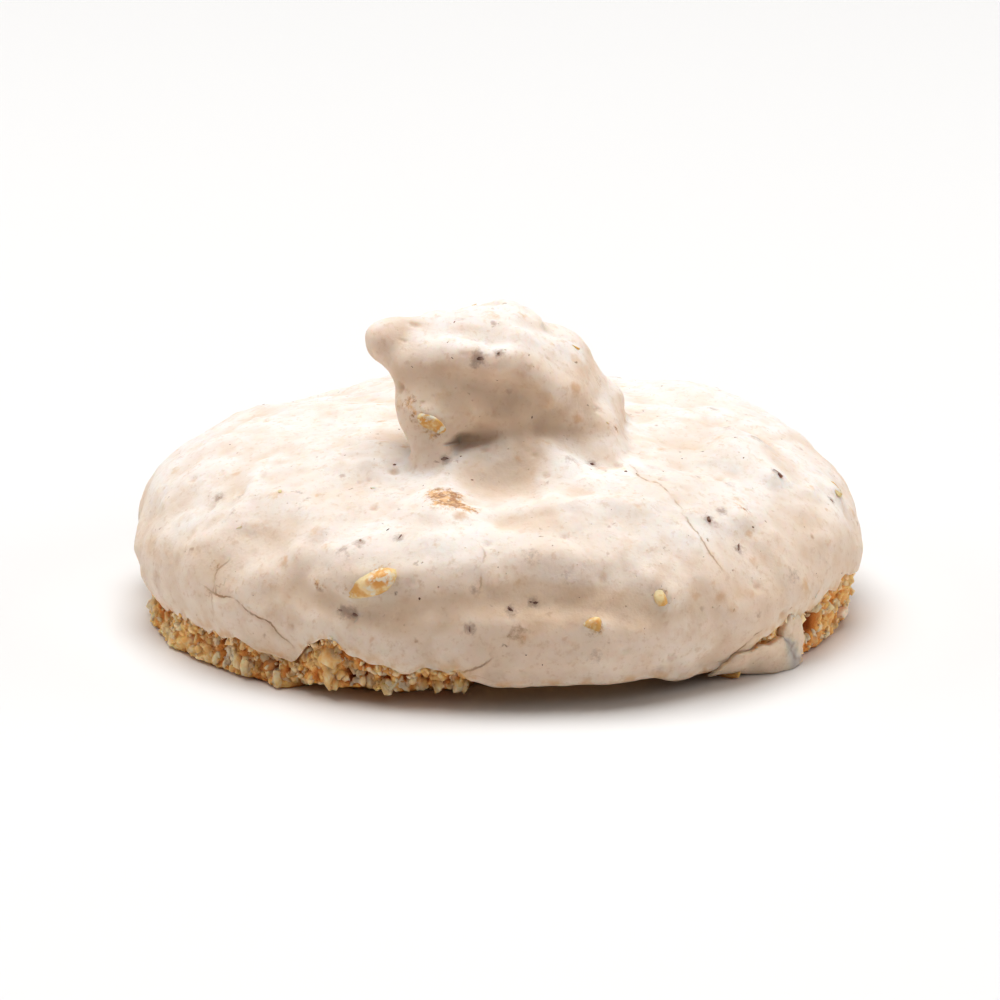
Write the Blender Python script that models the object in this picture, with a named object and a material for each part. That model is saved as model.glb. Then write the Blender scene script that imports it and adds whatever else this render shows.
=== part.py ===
"""A nut meringue cookie, built as one solid: a spooned mound of batter with a smooth crust,
a folded peak where the spoon let go, and a crumbly foot where the crust tore as it rose.

The surface is where straight rays, sent out from a bent spine, leave the batter. The spine runs
from the tip of the peak, down its neck and on to the middle of the base, so that the peak can
overhang and the whole cookie is still one closed skin."""

import math

import bmesh
import bpy
import numpy as np

MM = 0.001

# Driving sizes, in millimetres. +X is the cookie's right, +Y its back, +Z up, 0 the table.
WIDTH = 75.0
DOME_HEIGHT = 20.6
WIDEST_HEIGHT = 8.0
GROUND_WIDTH = 62.0
FOOT_GROUND_WIDTH = 73.6
DOME_FLATNESS = 3.0
CRUST_STEP = 0.9
SMOOTH_EDGE_HEIGHT = 0.9

# The uneven outline: how many waves go round, how far they move the edge, and where they start.
OUTLINE_WAVES = ((1, 0.35, 3.14), (2, 0.40, 0.9), (3, 0.40, 2.1), (5, 0.28, 0.4), (8, 0.16, 1.3))

# Where the crust tore and shows the foot: the middle and half width of each tear, in degrees
# round from +X, and how much higher the crust's edge is there.
TEARS = (
    (198.0, 62.0, 2.9),
    (239.0, 9.0, 3.3),
    (330.0, 30.0, 4.4),
    (52.0, 50.0, 3.4),
    (74.0, 12.0, 1.6),
    (116.0, 48.0, 3.8),
)

# The peak, as tapering strokes of batter: start, end, start radius, end radius.
PEAK_STROKES = (
    ((-5.0, -9.0, 29.2), (-11.6, -10.0, 31.3), 4.0, 2.1),
    ((-10.6, -9.7, 31.8), (-6.0, -8.8, 30.5), 1.9, 2.6),
    ((-11.3, -10.4, 30.9), (-7.5, -12.4, 29.2), 1.7, 2.4),
    ((-5.0, -9.0, 29.2), (0.0, -8.2, 28.8), 4.0, 4.2),
    ((0.0, -8.2, 28.8), (4.4, -6.8, 26.4), 4.2, 4.2),
    ((-5.0, -7.4, 29.0), (0.4, -5.2, 29.3), 3.6, 4.2),
    ((0.4, -5.2, 29.3), (4.8, -3.2, 26.4), 4.2, 4.1),
    ((4.8, -3.2, 26.4), (8.8, -1.4, 21.8), 4.1, 3.8),
    ((4.6, -4.6, 28.4), (5.8, -4.2, 28.0), 1.8, 1.6),
    ((-2.0, -6.0, 24.0), (3.5, -4.2, 22.5), 4.6, 4.9),
    ((-4.5, -9.5, 26.8), (4.0, -8.0, 25.0), 4.9, 5.2),
    ((-7.0, -11.0, 29.4), (0.5, -11.0, 29.2), 2.8, 3.0),
    ((0.5, -11.0, 29.2), (5.6, -9.4, 26.2), 3.0, 3.4),
    ((-9.2, -11.4, 29.8), (-4.1, -13.2, 30.0), 1.8, 1.9),
    ((-4.1, -13.2, 30.0), (0.6, -13.3, 29.2), 1.9, 1.9),
    ((0.6, -13.3, 29.2), (3.2, -12.9, 27.6), 1.9, 1.9),
    ((3.2, -12.9, 27.6), (6.6, -11.2, 25.2), 1.9, 2.0),
    ((-9.0, -12.8, 28.2), (-8.2, -13.1, 24.6), 2.2, 2.4),
    ((-5.6, -13.0, 28.4), (2.0, -12.6, 27.4), 2.5, 2.5),
    ((-6.5, -13.2, 26.2), (4.0, -12.2, 25.2), 2.8, 2.8),
    ((-7.2, -13.6, 24.4), (1.5, -12.2, 24.8), 2.4, 2.2),
    ((5.0, -6.0, 24.4), (8.2, -9.5, 20.6), 4.4, 3.9),
    ((8.2, -4.2, 22.0), (10.2, -12.2, 18.5), 3.8, 3.1),
    ((-3.6, -8.6, 15.5), (-3.6, -8.4, 24.0), 4.4, 4.2),
    ((-7.0, -15.9, 16.8), (-6.9, -14.1, 23.6), 2.3, 2.3),
    ((4.0, -6.5, 16.0), (4.0, -6.5, 25.0), 5.4, 4.8),
)
STROKE_BLEND = 1.6
PEAK_BLEND = 1.2

# The ramps of batter in front of the peak, which rise to just under its lip: start, end, radii.
RAMPS = (
    ((-1.8, -14.9, 17.3), (3.0, -13.4, 18.5), 4.4, 4.3),
    ((3.0, -13.4, 18.5), (8.0, -11.5, 18.0), 4.3, 4.0),
    ((-2.5, -17.8, 15.4), (4.5, -16.6, 15.9), 4.6, 4.6),
)
RAMP_BLEND = 2.0

# Soft mounds and dents that the spoon left: centre, reach and rise, a dent being negative.
MOUNDS = (
    ((-6.0, -25.5, 17.5), 5.0, 0.9),
    ((5.0, -26.5, 17.0), 5.5, 0.8),
    ((0.0, -21.8, 19.6), 8.0, -0.8),
    ((-9.5, -18.5, 20.2), 5.0, -0.8),
    ((-24.0, -24.0, 13.0), 6.0, -0.9),
    ((-16.0, -31.0, 12.5), 4.5, 0.7),
    ((16.5, -22.0, 17.8), 6.0, 0.6),
    ((26.0, -8.0, 17.5), 8.0, 1.0),
    ((20.0, -13.0, 18.5), 4.5, -0.6),
    ((-30.0, -6.0, 15.0), 8.0, 0.7),
    ((-17.0, -16.0, 19.0), 5.0, -0.5),
    ((-17.0, 17.0, 19.0), 12.0, -1.3),
    ((24.0, 14.0, 17.5), 10.0, 1.1),
    ((32.5, 4.0, 14.0), 9.0, 1.2),
    ((4.0, 28.0, 15.0), 7.0, 0.7),
    ((-5.0, 30.0, 14.0), 6.0, -0.7),
    ((-28.0, 18.0, 12.0), 7.0, 0.8),
)
FOLD_SIZE = 6.5
FOLD_RISE = 0.55
PEAK_FOLD_RISE = 0.4
CRUMB_SIZE = 2.2
CRUMB_RISE = 0.45

# The spine that the rays start from, from the tip of the peak to the widest line: where each
# ray starts, its elevation, how far the spine leans towards -X, both in degrees, and how far
# the starts are spread to both sides along the peak's shoulder.
SPINE = (
    ((-11.5, -10.0, 31.7), 90.0, 84.0, 0.0),
    ((-11.5, -10.0, 31.7), 0.0, 84.0, 0.0),
    ((-7.8, -9.8, 30.2), 0.0, 58.0, 0.0),
    ((-4.0, -9.3, 29.0), 0.0, 34.0, 0.0),
    ((-0.5, -8.6, 25.8), -6.0, 8.0, 2.0),
    ((2.5, -7.4, 22.5), 0.0, 0.0, 7.5),
    ((3.5, -6.8, 19.0), 20.0, 0.0, 9.0),
    ((4.0, -6.2, 16.3), 29.0, 0.0, 9.0),
    ((3.5, -5.2, 13.6), 31.5, 0.0, 8.0),
    ((2.0, -3.5, 11.3), 30.0, 0.0, 6.0),
    ((1.0, -1.5, 9.5), 24.0, 0.0, 3.0),
    ((0.0, 0.0, WIDEST_HEIGHT), 12.0, 0.0, 0.0),
    ((0.0, 0.0, WIDEST_HEIGHT), 0.0, 0.0, 0.0),
)
SHOULDER_TURN = math.radians(27.0)

COLUMNS = 90
CRUST_RINGS = 42
FOOT_RINGS = 6
BASE_RINGS = 6
RINGS = CRUST_RINGS + FOOT_RINGS + BASE_RINGS


def smooth_step(low, high, value):
    """0 below low, 1 above high, and an even slope between."""
    share = np.clip((value - low) / (high - low), 0.0, 1.0)
    return share * share * (3.0 - 2.0 * share)


def smooth_min(first, second, blend):
    """The lower of two fields, with a fillet about as wide as blend where they meet."""
    share = np.clip(0.5 + 0.5 * (second - first) / blend, 0.0, 1.0)
    return second * (1.0 - share) + first * share - blend * share * (1.0 - share)


def lattice_noise(points, cell, seed):
    """Smooth noise from -1 to 1: fixed random values at the corners of a grid, eased between."""
    scaled = points / cell + 97.0 * seed
    corner = np.floor(scaled).astype(np.int64)
    inside = scaled - corner
    ease = inside**3 * (inside * (inside * 6.0 - 15.0) + 10.0)
    total = np.zeros(points.shape[:-1])
    for step in np.ndindex(2, 2, 2):
        x, y, z = np.moveaxis(corner + step, -1, 0)
        mixed = (x * 73856093) ^ (y * 19349663) ^ (z * 83492791)
        mixed = ((mixed ^ (mixed >> 13)) * 1274126177) & 0x7FFFFFFF
        value = (mixed ^ (mixed >> 16)) % 65536 / 32767.5 - 1.0
        weight = np.prod(np.where(step, ease, 1.0 - ease), axis=-1)
        total += value * weight
    return total


def outline_radius(angle):
    """The cookie's radius at its widest line, looking down: a circle with a few slow waves."""
    waves = sum(size * np.cos(count * angle + start) for count, size, start in OUTLINE_WAVES)
    return WIDTH / 2 + waves


def edge_height(angle):
    """How high over the table the crust ends, all round. It rises where the crust tore."""
    height = np.full(np.shape(angle), SMOOTH_EDGE_HEIGHT)
    for middle, half_width, rise in TEARS:
        away = np.abs((np.degrees(angle) - middle + 180.0) % 360.0 - 180.0)
        height = height + rise * smooth_step(half_width, 0.45 * half_width, away)
    return height


def dome_field(points):
    """About the distance to the plain mound, negative inside. Above the widest line it is a
    superellipse, flat on top, and below it a quarter ellipse that tucks in to the table."""
    x, y, z = np.moveaxis(points, -1, 0)
    radius = outline_radius(np.arctan2(y, x))
    out = np.hypot(x, y)
    share = out / radius
    tall = DOME_HEIGHT - WIDEST_HEIGHT
    rise = (z - WIDEST_HEIGHT) / tall
    level = share**DOME_FLATNESS + rise**2 - 1.0
    slope = np.hypot(DOME_FLATNESS * share ** (DOME_FLATNESS - 1) / radius, 2.0 * rise / tall)
    above = level / np.hypot(slope, 0.5 / tall)
    tuck = radius - GROUND_WIDTH / 2
    drop = np.clip((WIDEST_HEIGHT - z) / WIDEST_HEIGHT, 0.0, 0.98)
    below = out - (GROUND_WIDTH / 2 + tuck * np.sqrt(1.0 - drop**2))
    return np.where(z > WIDEST_HEIGHT, above, below)


def stroke_field(points, start, end, start_radius, end_radius):
    """The distance to a capsule whose radius changes from one end to the other."""
    start = np.array(start)
    along = np.array(end) - start
    share = np.clip((points - start) @ along / (along @ along), 0.0, 1.0)
    away = np.linalg.norm(points - start - share[..., None] * along, axis=-1)
    return away - (start_radius + (end_radius - start_radius) * share)


def batter_field(points):
    """The whole cookie's field: the mound and the peak joined by fillets, then its mounds,
    dents and folds. A positive rise moves the skin outwards by that much."""
    peak = stroke_field(points, *PEAK_STROKES[0])
    for stroke in PEAK_STROKES[1:]:
        peak = smooth_min(peak, stroke_field(points, *stroke), STROKE_BLEND)
    mound = dome_field(points)
    for ramp in RAMPS:
        mound = smooth_min(mound, stroke_field(points, *ramp), RAMP_BLEND)
    field = smooth_min(mound, peak, PEAK_BLEND)
    on_peak = smooth_step(2.5, 0.0, peak) * smooth_step(21.5, 25.0, points[..., 2])
    for centre, reach, rise in MOUNDS:
        away = np.sum((points - np.array(centre)) ** 2, axis=-1)
        field = field - rise * np.exp(-away / (2.0 * (reach / 2.0) ** 2))
    folds = lattice_noise(points, FOLD_SIZE, 1)
    lumps = lattice_noise(points, FOLD_SIZE / 2, 2)
    return field - FOLD_RISE * (1.0 - on_peak) * folds - PEAK_FOLD_RISE * on_peak * lumps


def spine_at(station):
    """Start, elevation, lean and spread at a station, counted along the spine's list."""
    stations = np.arange(len(SPINE))
    table = np.array([(*row[0], *row[1:]) for row in SPINE])
    values = [np.interp(station, stations, column) for column in table.T]
    return np.stack(values[:3], axis=-1), np.radians(values[3]), np.radians(values[4]), values[5]


def skin(station, angle):
    """The points where the rays leave the batter. Each ray is turned by angle round the spine
    and raised by the elevation there. It is walked outwards in even steps, and the step in
    which it leaves is then halved until the place is exact."""
    start, elevation, lean, spread = spine_at(station)
    along_shoulder = spread * np.cos(angle - SHOULDER_TURN)
    start[..., 0] += along_shoulder * math.cos(SHOULDER_TURN)
    start[..., 1] += along_shoulder * math.sin(SHOULDER_TURN)
    flat, up = np.cos(elevation), np.sin(elevation)
    across = flat * np.cos(angle)
    direction = np.stack(
        [
            across * np.cos(lean) - up * np.sin(lean),
            flat * np.sin(angle),
            across * np.sin(lean) + up * np.cos(lean),
        ],
        axis=-1,
    )
    step = 0.75
    reach = np.zeros(angle.shape)
    walking = np.ones(angle.shape, bool)
    for _ in range(int(0.62 * WIDTH / step)):
        walking &= batter_field(start + direction * (reach + step)[..., None]) < 0.0
        reach = np.where(walking, reach + step, reach)
    for _ in range(12):
        step /= 2.0
        inside = batter_field(start + direction * (reach + step)[..., None]) < 0.0
        reach = np.where(inside, reach + step, reach)
    return start + direction * reach[..., None]


def even_stations(count):
    """Stations for rings that lie about evenly spaced over the skin, tip first."""
    trial = np.linspace(0.0, len(SPINE) - 1.0, 181)
    angle = np.linspace(0.0, 2 * math.pi, 24, endpoint=False)
    places = skin(*np.meshgrid(trial, angle, indexing="ij"))
    spacing = np.linalg.norm(np.diff(places, axis=0), axis=-1).mean(axis=1)
    travelled = np.concatenate([[0.0], np.cumsum(spacing)])
    return np.interp(np.linspace(0.0, travelled[-1], count + 1), travelled, trial)


def crust_points(ring, angle):
    """The crust's skin, from ring 0 at the tip of the peak to its torn edge. The last few
    rings go straight down the side, from the widest line to the edge."""
    side_rings = 5
    upper = CRUST_RINGS - side_rings
    stations = even_stations(upper)
    points = skin(np.interp(ring, np.arange(upper + 1), stations), angle)
    drop = np.clip((ring - upper) / side_rings, 0.0, 1.0)
    height = WIDEST_HEIGHT + drop * (edge_height(angle) - WIDEST_HEIGHT)
    ratio = side_radius(height, angle) / side_radius(np.full(angle.shape, WIDEST_HEIGHT), angle)
    below = points * ratio[..., None]
    below[..., 2] = height
    return np.where((ring > upper)[..., None], below, points)


def side_radius(height, angle):
    """The plain mound's radius below its widest line."""
    drop = (WIDEST_HEIGHT - height) / WIDEST_HEIGHT
    tuck = outline_radius(angle) - GROUND_WIDTH / 2
    return GROUND_WIDTH / 2 + tuck * np.sqrt(np.clip(1.0 - drop**2, 0.0, 1.0))


def foot_points(share, angle, edge):
    """The crumbly foot, from under the crust's edge at share 0 to the table at share 1. Where
    the crust tore it steps in below the edge and stands nearly straight, with rough crumbs."""
    height = edge_height(angle)
    torn = smooth_step(SMOOTH_EDGE_HEIGHT, 3.0, height)
    top = np.hypot(edge[..., 0], edge[..., 1]) - CRUST_STEP * torn
    ground = (GROUND_WIDTH + torn * (FOOT_GROUND_WIDTH - GROUND_WIDTH)) / 2
    radius = top + (ground - top) * share**2
    level = height * (1.0 - share)
    points = np.stack([radius * np.cos(angle), radius * np.sin(angle), level], axis=-1)
    rough = CRUMB_RISE * torn * lattice_noise(points, CRUMB_SIZE, 3)
    points[..., 0] += rough * np.cos(angle)
    points[..., 1] += rough * np.sin(angle)
    return points


def cookie_points(ring, angle):
    """Every point of the cookie: the crust, the foot under it and the flat base."""
    edge_ring = np.full(angle.shape, float(CRUST_RINGS))
    edge = crust_points(edge_ring, angle)
    edge_angle = np.arctan2(edge[..., 1], edge[..., 0])
    foot_share = np.clip((ring - CRUST_RINGS) / FOOT_RINGS, 0.0, 1.0)
    foot = foot_points(foot_share, edge_angle, edge)
    inward = np.clip((RINGS - ring) / BASE_RINGS, 0.0, 1.0)
    base = foot * np.stack([inward, inward, np.zeros(ring.shape)], axis=-1)
    points = np.where((ring > CRUST_RINGS)[..., None], foot, crust_points(ring, angle))
    return np.where((ring >= CRUST_RINGS + FOOT_RINGS)[..., None], base, points)


def baked_meringue():
    """The crust's pale, matt finish."""
    material = bpy.data.materials.new("baked_meringue")
    material.use_nodes = True
    shader = material.node_tree.nodes["Principled BSDF"]
    shader.inputs["Base Color"].default_value = (0.84, 0.75, 0.66, 1.0)
    shader.inputs["Roughness"].default_value = 0.8
    shader.inputs["Metallic"].default_value = 0.0
    return material


def make_cookie(collection):
    """Starts from a UV sphere, whose rings and columns become the cookie's, tip first."""
    mesh = bpy.data.meshes.new("meringue_cookie")
    shape = bmesh.new()
    bmesh.ops.create_uvsphere(shape, u_segments=COLUMNS, v_segments=RINGS, radius=1.0)
    shape.verts.ensure_lookup_table()
    sphere = np.array([vertex.co for vertex in shape.verts])
    ring = np.round(np.arccos(np.clip(sphere[:, 2], -1.0, 1.0)) * RINGS / math.pi)
    angle = np.arctan2(sphere[:, 1], sphere[:, 0])
    for vertex, place in zip(shape.verts, cookie_points(ring, angle) * MM):
        vertex.co = place
    bmesh.ops.triangulate(shape, faces=shape.faces)
    bmesh.ops.recalc_face_normals(shape, faces=shape.faces)
    shape.to_mesh(mesh)
    shape.free()
    mesh.materials.append(baked_meringue())
    mesh.shade_smooth()
    cookie = bpy.data.objects.new("meringue_cookie", mesh)
    collection.objects.link(cookie)
    return cookie


def main():
    for old in list(bpy.data.objects):
        bpy.data.objects.remove(old)
    collection = bpy.data.collections.new("meringue_cookie")
    bpy.context.scene.collection.children.link(collection)
    make_cookie(collection)


main()
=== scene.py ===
# %% [markdown]
# # A nut meringue cookie
# A spoonful of stiff egg-white batter with chopped nuts, dried in a slow oven. The spoon leaves
# a folded peak. The skin dries into a smooth pale crust, and when the inside swells, the crust
# tears near the tray and a rough golden foot shows under its edge.
#
# The looks are built around the solid model of the same cookie, in the same place and size. The
# model is loaded first.

# %% Load the solid model
import math

import bpy
import numpy as np
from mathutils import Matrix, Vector


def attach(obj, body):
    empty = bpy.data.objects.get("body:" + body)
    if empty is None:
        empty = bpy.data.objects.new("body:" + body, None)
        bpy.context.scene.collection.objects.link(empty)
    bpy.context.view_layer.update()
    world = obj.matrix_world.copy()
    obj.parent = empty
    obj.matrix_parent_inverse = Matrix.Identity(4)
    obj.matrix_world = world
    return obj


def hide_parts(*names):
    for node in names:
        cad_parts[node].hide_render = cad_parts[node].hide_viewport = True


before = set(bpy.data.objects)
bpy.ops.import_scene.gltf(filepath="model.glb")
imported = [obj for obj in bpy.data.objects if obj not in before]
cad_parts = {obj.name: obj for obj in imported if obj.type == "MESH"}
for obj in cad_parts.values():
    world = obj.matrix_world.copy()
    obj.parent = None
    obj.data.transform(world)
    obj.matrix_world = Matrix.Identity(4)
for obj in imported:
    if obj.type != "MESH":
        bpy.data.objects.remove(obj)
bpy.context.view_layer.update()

# %% [markdown]
# ## Sizes
# All sizes are in millimetres, with +X to the cookie's right, +Y to its back and +Z up from the
# table. They are the same values that the solid model was made from, so that the crust made here
# lies exactly where the solid's skin is.

# %% Sizes of the whole cookie
MM = 0.001
WIDTH = 75.0
DOME_HEIGHT = 20.6
WIDEST_HEIGHT = 8.0
GROUND_WIDTH = 62.0
FOOT_GROUND_WIDTH = 73.6
DOME_FLATNESS = 3.0
CRUST_STEP = 0.9
SMOOTH_EDGE_HEIGHT = 3.5
OUTLINE_WAVES = ((1, 0.35, 3.14), (2, 0.4, 0.9), (3, 0.4, 2.1), (5, 0.28, 0.4), (8, 0.16, 1.3))

# %% Sizes of the peak, the mounds and the spine
PEAK_STROKES = (
    ((-5, -9, 29.2), (-11.6, -10, 31.3), 4, 2.1), ((-10.6, -9.7, 31.8), (-6, -8.8, 30.5), 1.9, 2.6),
    ((-11.3, -10.4, 30.9), (-7.5, -12.4, 29.2), 1.7, 2.4), ((-5, -9, 29.2), (0, -8.2, 28.8), 4, 4.2),
    ((0, -8.2, 28.8), (4.4, -6.8, 26.4), 4.2, 4.2), ((-5, -7.4, 29), (0.4, -5.2, 29.3), 3.6, 4.2),
    ((0.4, -5.2, 29.3), (4.8, -3.2, 26.4), 4.2, 4.1), ((4.8, -3.2, 26.4), (8.8, -1.4, 21.8), 4.1, 3.8),
    ((4.6, -4.6, 28.4), (5.8, -4.2, 28), 1.8, 1.6), ((-2, -6, 24), (3.5, -4.2, 22.5), 4.6, 4.9),
    ((-4.5, -9.5, 26.8), (4, -8, 25), 4.9, 5.2), ((-7, -11, 29.4), (0.5, -11, 29.2), 2.8, 3),
    ((0.5, -11, 29.2), (5.6, -9.4, 26.2), 3, 3.4), ((-9.2, -11.4, 29.8), (-4.1, -13.2, 30), 1.8, 1.9),
    ((-4.1, -13.2, 30), (0.6, -13.3, 29.2), 1.9, 1.9),
    ((0.6, -13.3, 29.2), (3.2, -12.9, 27.6), 1.9, 1.9),
    ((3.2, -12.9, 27.6), (6.6, -11.2, 25.2), 1.9, 2),
    ((-9, -12.8, 28.2), (-8.2, -13.1, 24.6), 2.2, 2.4), ((-5.6, -13, 28.4), (2, -12.6, 27.4), 2.5, 2.5),
    ((-6.5, -13.2, 26.2), (4, -12.2, 25.2), 2.8, 2.8),
    ((-7.2, -13.6, 24.4), (1.5, -12.2, 24.8), 2.4, 2.2), ((5, -6, 24.4), (8.2, -9.5, 20.6), 4.4, 3.9),
    ((8.2, -4.2, 22), (10.2, -12.2, 18.5), 3.8, 3.1), ((-3.6, -8.6, 15.5), (-3.6, -8.4, 24), 4.4, 4.2),
    ((-7, -15.9, 16.8), (-6.9, -14.1, 23.6), 2.3, 2.3), ((4, -6.5, 16), (4, -6.5, 25), 5.4, 4.8),
)
STROKE_BLEND = 1.6
PEAK_BLEND = 1.2
RAMPS = (
    ((-1.8, -14.9, 17.3), (3, -13.4, 18.5), 4.4, 4.3), ((3, -13.4, 18.5), (8, -11.5, 18), 4.3, 4),
    ((-2.5, -17.8, 15.4), (4.5, -16.6, 15.9), 4.6, 4.6),
)
RAMP_BLEND = 2.0
MOUNDS = (
    ((-6, -25.5, 17.5), 5, 0.9), ((5, -26.5, 17), 5.5, 0.8), ((0, -21.8, 19.6), 8, -0.8),
    ((-9.5, -18.5, 20.2), 5, -0.8), ((-24, -24, 13), 6, -0.9), ((-16, -31, 12.5), 4.5, 0.7),
    ((16.5, -22, 17.8), 6, 0.6), ((26, -8, 17.5), 8, 1), ((20, -13, 18.5), 4.5, -0.6),
    ((-30, -6, 15), 8, 0.7), ((-17, -16, 19), 5, -0.5), ((-17, 17, 19), 12, -1.3),
    ((24, 14, 17.5), 10, 1.1), ((32.5, 4, 14), 9, 1.2), ((4, 28, 15), 7, 0.7), ((-5, 30, 14), 6, -0.7),
    ((-28, 18, 12), 7, 0.8),
)
PEAK_REACH = 2.5
PEAK_LEVEL = (21.5, 25.0)
FOLD_SIZE = 6.5
FOLD_RISE = 0.55
PEAK_FOLD_RISE = 0.4
SPINE = (
    ((-11.5, -10, 31.7), 90, 84, 0), ((-11.5, -10, 31.7), 0, 84, 0), ((-7.8, -9.8, 30.2), 0, 58, 0),
    ((-4, -9.3, 29), 0, 34, 0), ((-0.5, -8.6, 25.8), -6, 8, 2), ((2.5, -7.4, 22.5), 0, 0, 7.5),
    ((3.5, -6.8, 19), 20, 0, 9), ((4, -6.2, 16.3), 29, 0, 9), ((3.5, -5.2, 13.6), 31.5, 0, 8),
    ((2, -3.5, 11.3), 30, 0, 6), ((1, -1.5, 9.5), 24, 0, 3), ((0, 0, WIDEST_HEIGHT), 12, 0, 0),
    ((0, 0, WIDEST_HEIGHT), 0, 0, 0),
)
SHOULDER_TURN = math.radians(27.0)
print("cookie", WIDTH, "mm wide, mound", DOME_HEIGHT, "mm high,", len(PEAK_STROKES), "strokes")

# %% [markdown]
# ## Easing and noise
# Baked batter has no straight lines and no repeats. A few small functions give all of its
# unevenness: an eased step, a smooth noise for folds and lumps, the same noise moving the points
# themselves, and the distance to the nearest of many scattered seeds, which gives bubbles, grains
# and pits. All take whole arrays of points and depend only on the place, so a pattern has no seam
# and is the same on every run.

# %% Easing and noise
def smooth_step(low, high, value):
    """0 below low, 1 above high, and an even slope between."""
    share = np.clip((value - low) / (high - low), 0.0, 1.0)
    return share * share * (3.0 - 2.0 * share)


def smooth_min(first, second, blend):
    """The lower of two fields, with a fillet about as wide as blend where they meet."""
    share = np.clip(0.5 + 0.5 * (second - first) / blend, 0.0, 1.0)
    return second * (1.0 - share) + first * share - blend * share * (1.0 - share)


def scrambled(x, y, z):
    """A fixed random value from 0 to 1 for whole numbers x, y, z: their products with large
    primes are mixed bit by bit."""
    mixed = (x * 73856093) ^ (y * 19349663) ^ (z * 83492791)
    mixed = ((mixed ^ (mixed >> 13)) * 1274126177) & 0x7FFFFFFF
    return (mixed ^ (mixed >> 16)) % 65536 / 65535.0


def lattice_noise(points, cell, seed):
    """Smooth noise from -1 to 1: fixed random values at the corners of a grid, eased between."""
    scaled = points / cell + 97.0 * seed
    corner = np.floor(scaled).astype(np.int64)
    inside = scaled - corner
    ease = inside**3 * (inside * (inside * 6.0 - 15.0) + 10.0)
    total = np.zeros(points.shape[:-1])
    for step in np.ndindex(2, 2, 2):
        value = 2.0 * scrambled(*np.moveaxis(corner + step, -1, 0)) - 1.0
        total += value * np.prod(np.where(step, ease, 1.0 - ease), axis=-1)
    return total


def warped(points, size, cell, seed):
    """The points, each moved by up to about size by a noise of its own along each axis."""
    moves = [lattice_noise(points, cell, seed + axis) for axis in range(3)]
    return points + size * np.stack(moves, axis=-1)


def nearest_seed(points, cell, seed):
    """Distance to the nearest of many scattered seeds, one in each cell of a grid, and that
    seed's own random value from 0 to 1."""
    scaled = points / cell + 31.0 * seed
    home = np.floor(scaled).astype(np.int64)
    best = np.full(points.shape[:-1], 9.0)
    tag = np.zeros(points.shape[:-1])
    for step in np.ndindex(3, 3, 3):
        x, y, z = np.moveaxis(home + step - 1, -1, 0)
        moved = [x + scrambled(x, y, z), y + scrambled(y, z, x), z + scrambled(z, x, y)]
        place = np.stack(moved, axis=-1)
        gap = np.linalg.norm(place - scaled, axis=-1)
        tag = np.where(gap < best, scrambled(x + 7, y + 5, z + 3), tag)
        best = np.minimum(best, gap)
    return best * cell, tag


# %% [markdown]
# ## The batter's shape
# A mound with a peak that overhangs could be sculpted by hand, but then it could not be changed
# by a number. Here the batter is a field: a value that is negative inside, positive outside and
# zero on the skin. The mound is one field, each stroke of the spoon is a capsule, and smooth
# minimums join them with fillets, as wet batter does.

# %% The batter as a field
def outline_radius(angle):
    """The cookie's radius at its widest line, looking down: a circle with a few slow waves."""
    waves = sum(size * np.cos(count * angle + start) for count, size, start in OUTLINE_WAVES)
    return WIDTH / 2 + waves


def dome_field(points):
    """About the distance to the plain mound, negative inside. Above the widest line it is a
    superellipse, flat on top, and below it a quarter ellipse that tucks in to the table."""
    x, y, z = np.moveaxis(points, -1, 0)
    radius = outline_radius(np.arctan2(y, x))
    out = np.hypot(x, y)
    share = out / radius
    tall = DOME_HEIGHT - WIDEST_HEIGHT
    rise = (z - WIDEST_HEIGHT) / tall
    level = share**DOME_FLATNESS + rise**2 - 1.0
    slope = np.hypot(DOME_FLATNESS * share ** (DOME_FLATNESS - 1) / radius, 2.0 * rise / tall)
    above = level / np.hypot(slope, 0.5 / tall)
    tuck = radius - GROUND_WIDTH / 2
    drop = np.clip((WIDEST_HEIGHT - z) / WIDEST_HEIGHT, 0.0, 0.98)
    below = out - (GROUND_WIDTH / 2 + tuck * np.sqrt(1.0 - drop**2))
    return np.where(z > WIDEST_HEIGHT, above, below)


def stroke_field(points, start, end, start_radius, end_radius):
    """The distance to a capsule whose radius changes from one end to the other."""
    start = np.array(start)
    along = np.array(end) - start
    share = np.clip((points - start) @ along / (along @ along), 0.0, 1.0)
    away = np.linalg.norm(points - start - share[..., None] * along, axis=-1)
    return away - (start_radius + (end_radius - start_radius) * share)


def peak_field(points):
    """The strokes of the peak, joined by small fillets."""
    peak = stroke_field(points, *PEAK_STROKES[0])
    for stroke in PEAK_STROKES[1:]:
        peak = smooth_min(peak, stroke_field(points, *stroke), STROKE_BLEND)
    return peak


def batter_field(points):
    """The whole cookie's field: the mound and the peak joined by fillets, then its mounds,
    dents and folds. A positive rise moves the skin outwards by that much."""
    peak = peak_field(points)
    mound = dome_field(points)
    for ramp in RAMPS:
        mound = smooth_min(mound, stroke_field(points, *ramp), RAMP_BLEND)
    field = smooth_min(mound, peak, PEAK_BLEND)
    on_peak = smooth_step(PEAK_REACH, 0.0, peak) * smooth_step(*PEAK_LEVEL, points[..., 2])
    for centre, reach, rise in MOUNDS:
        away = np.sum((points - np.array(centre)) ** 2, axis=-1)
        field = field - rise * np.exp(-away / (2.0 * (reach / 2.0) ** 2))
    folds = lattice_noise(points, FOLD_SIZE, 1)
    lumps = lattice_noise(points, FOLD_SIZE / 2, 2)
    return field - FOLD_RISE * (1.0 - on_peak) * folds - PEAK_FOLD_RISE * on_peak * lumps


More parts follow.
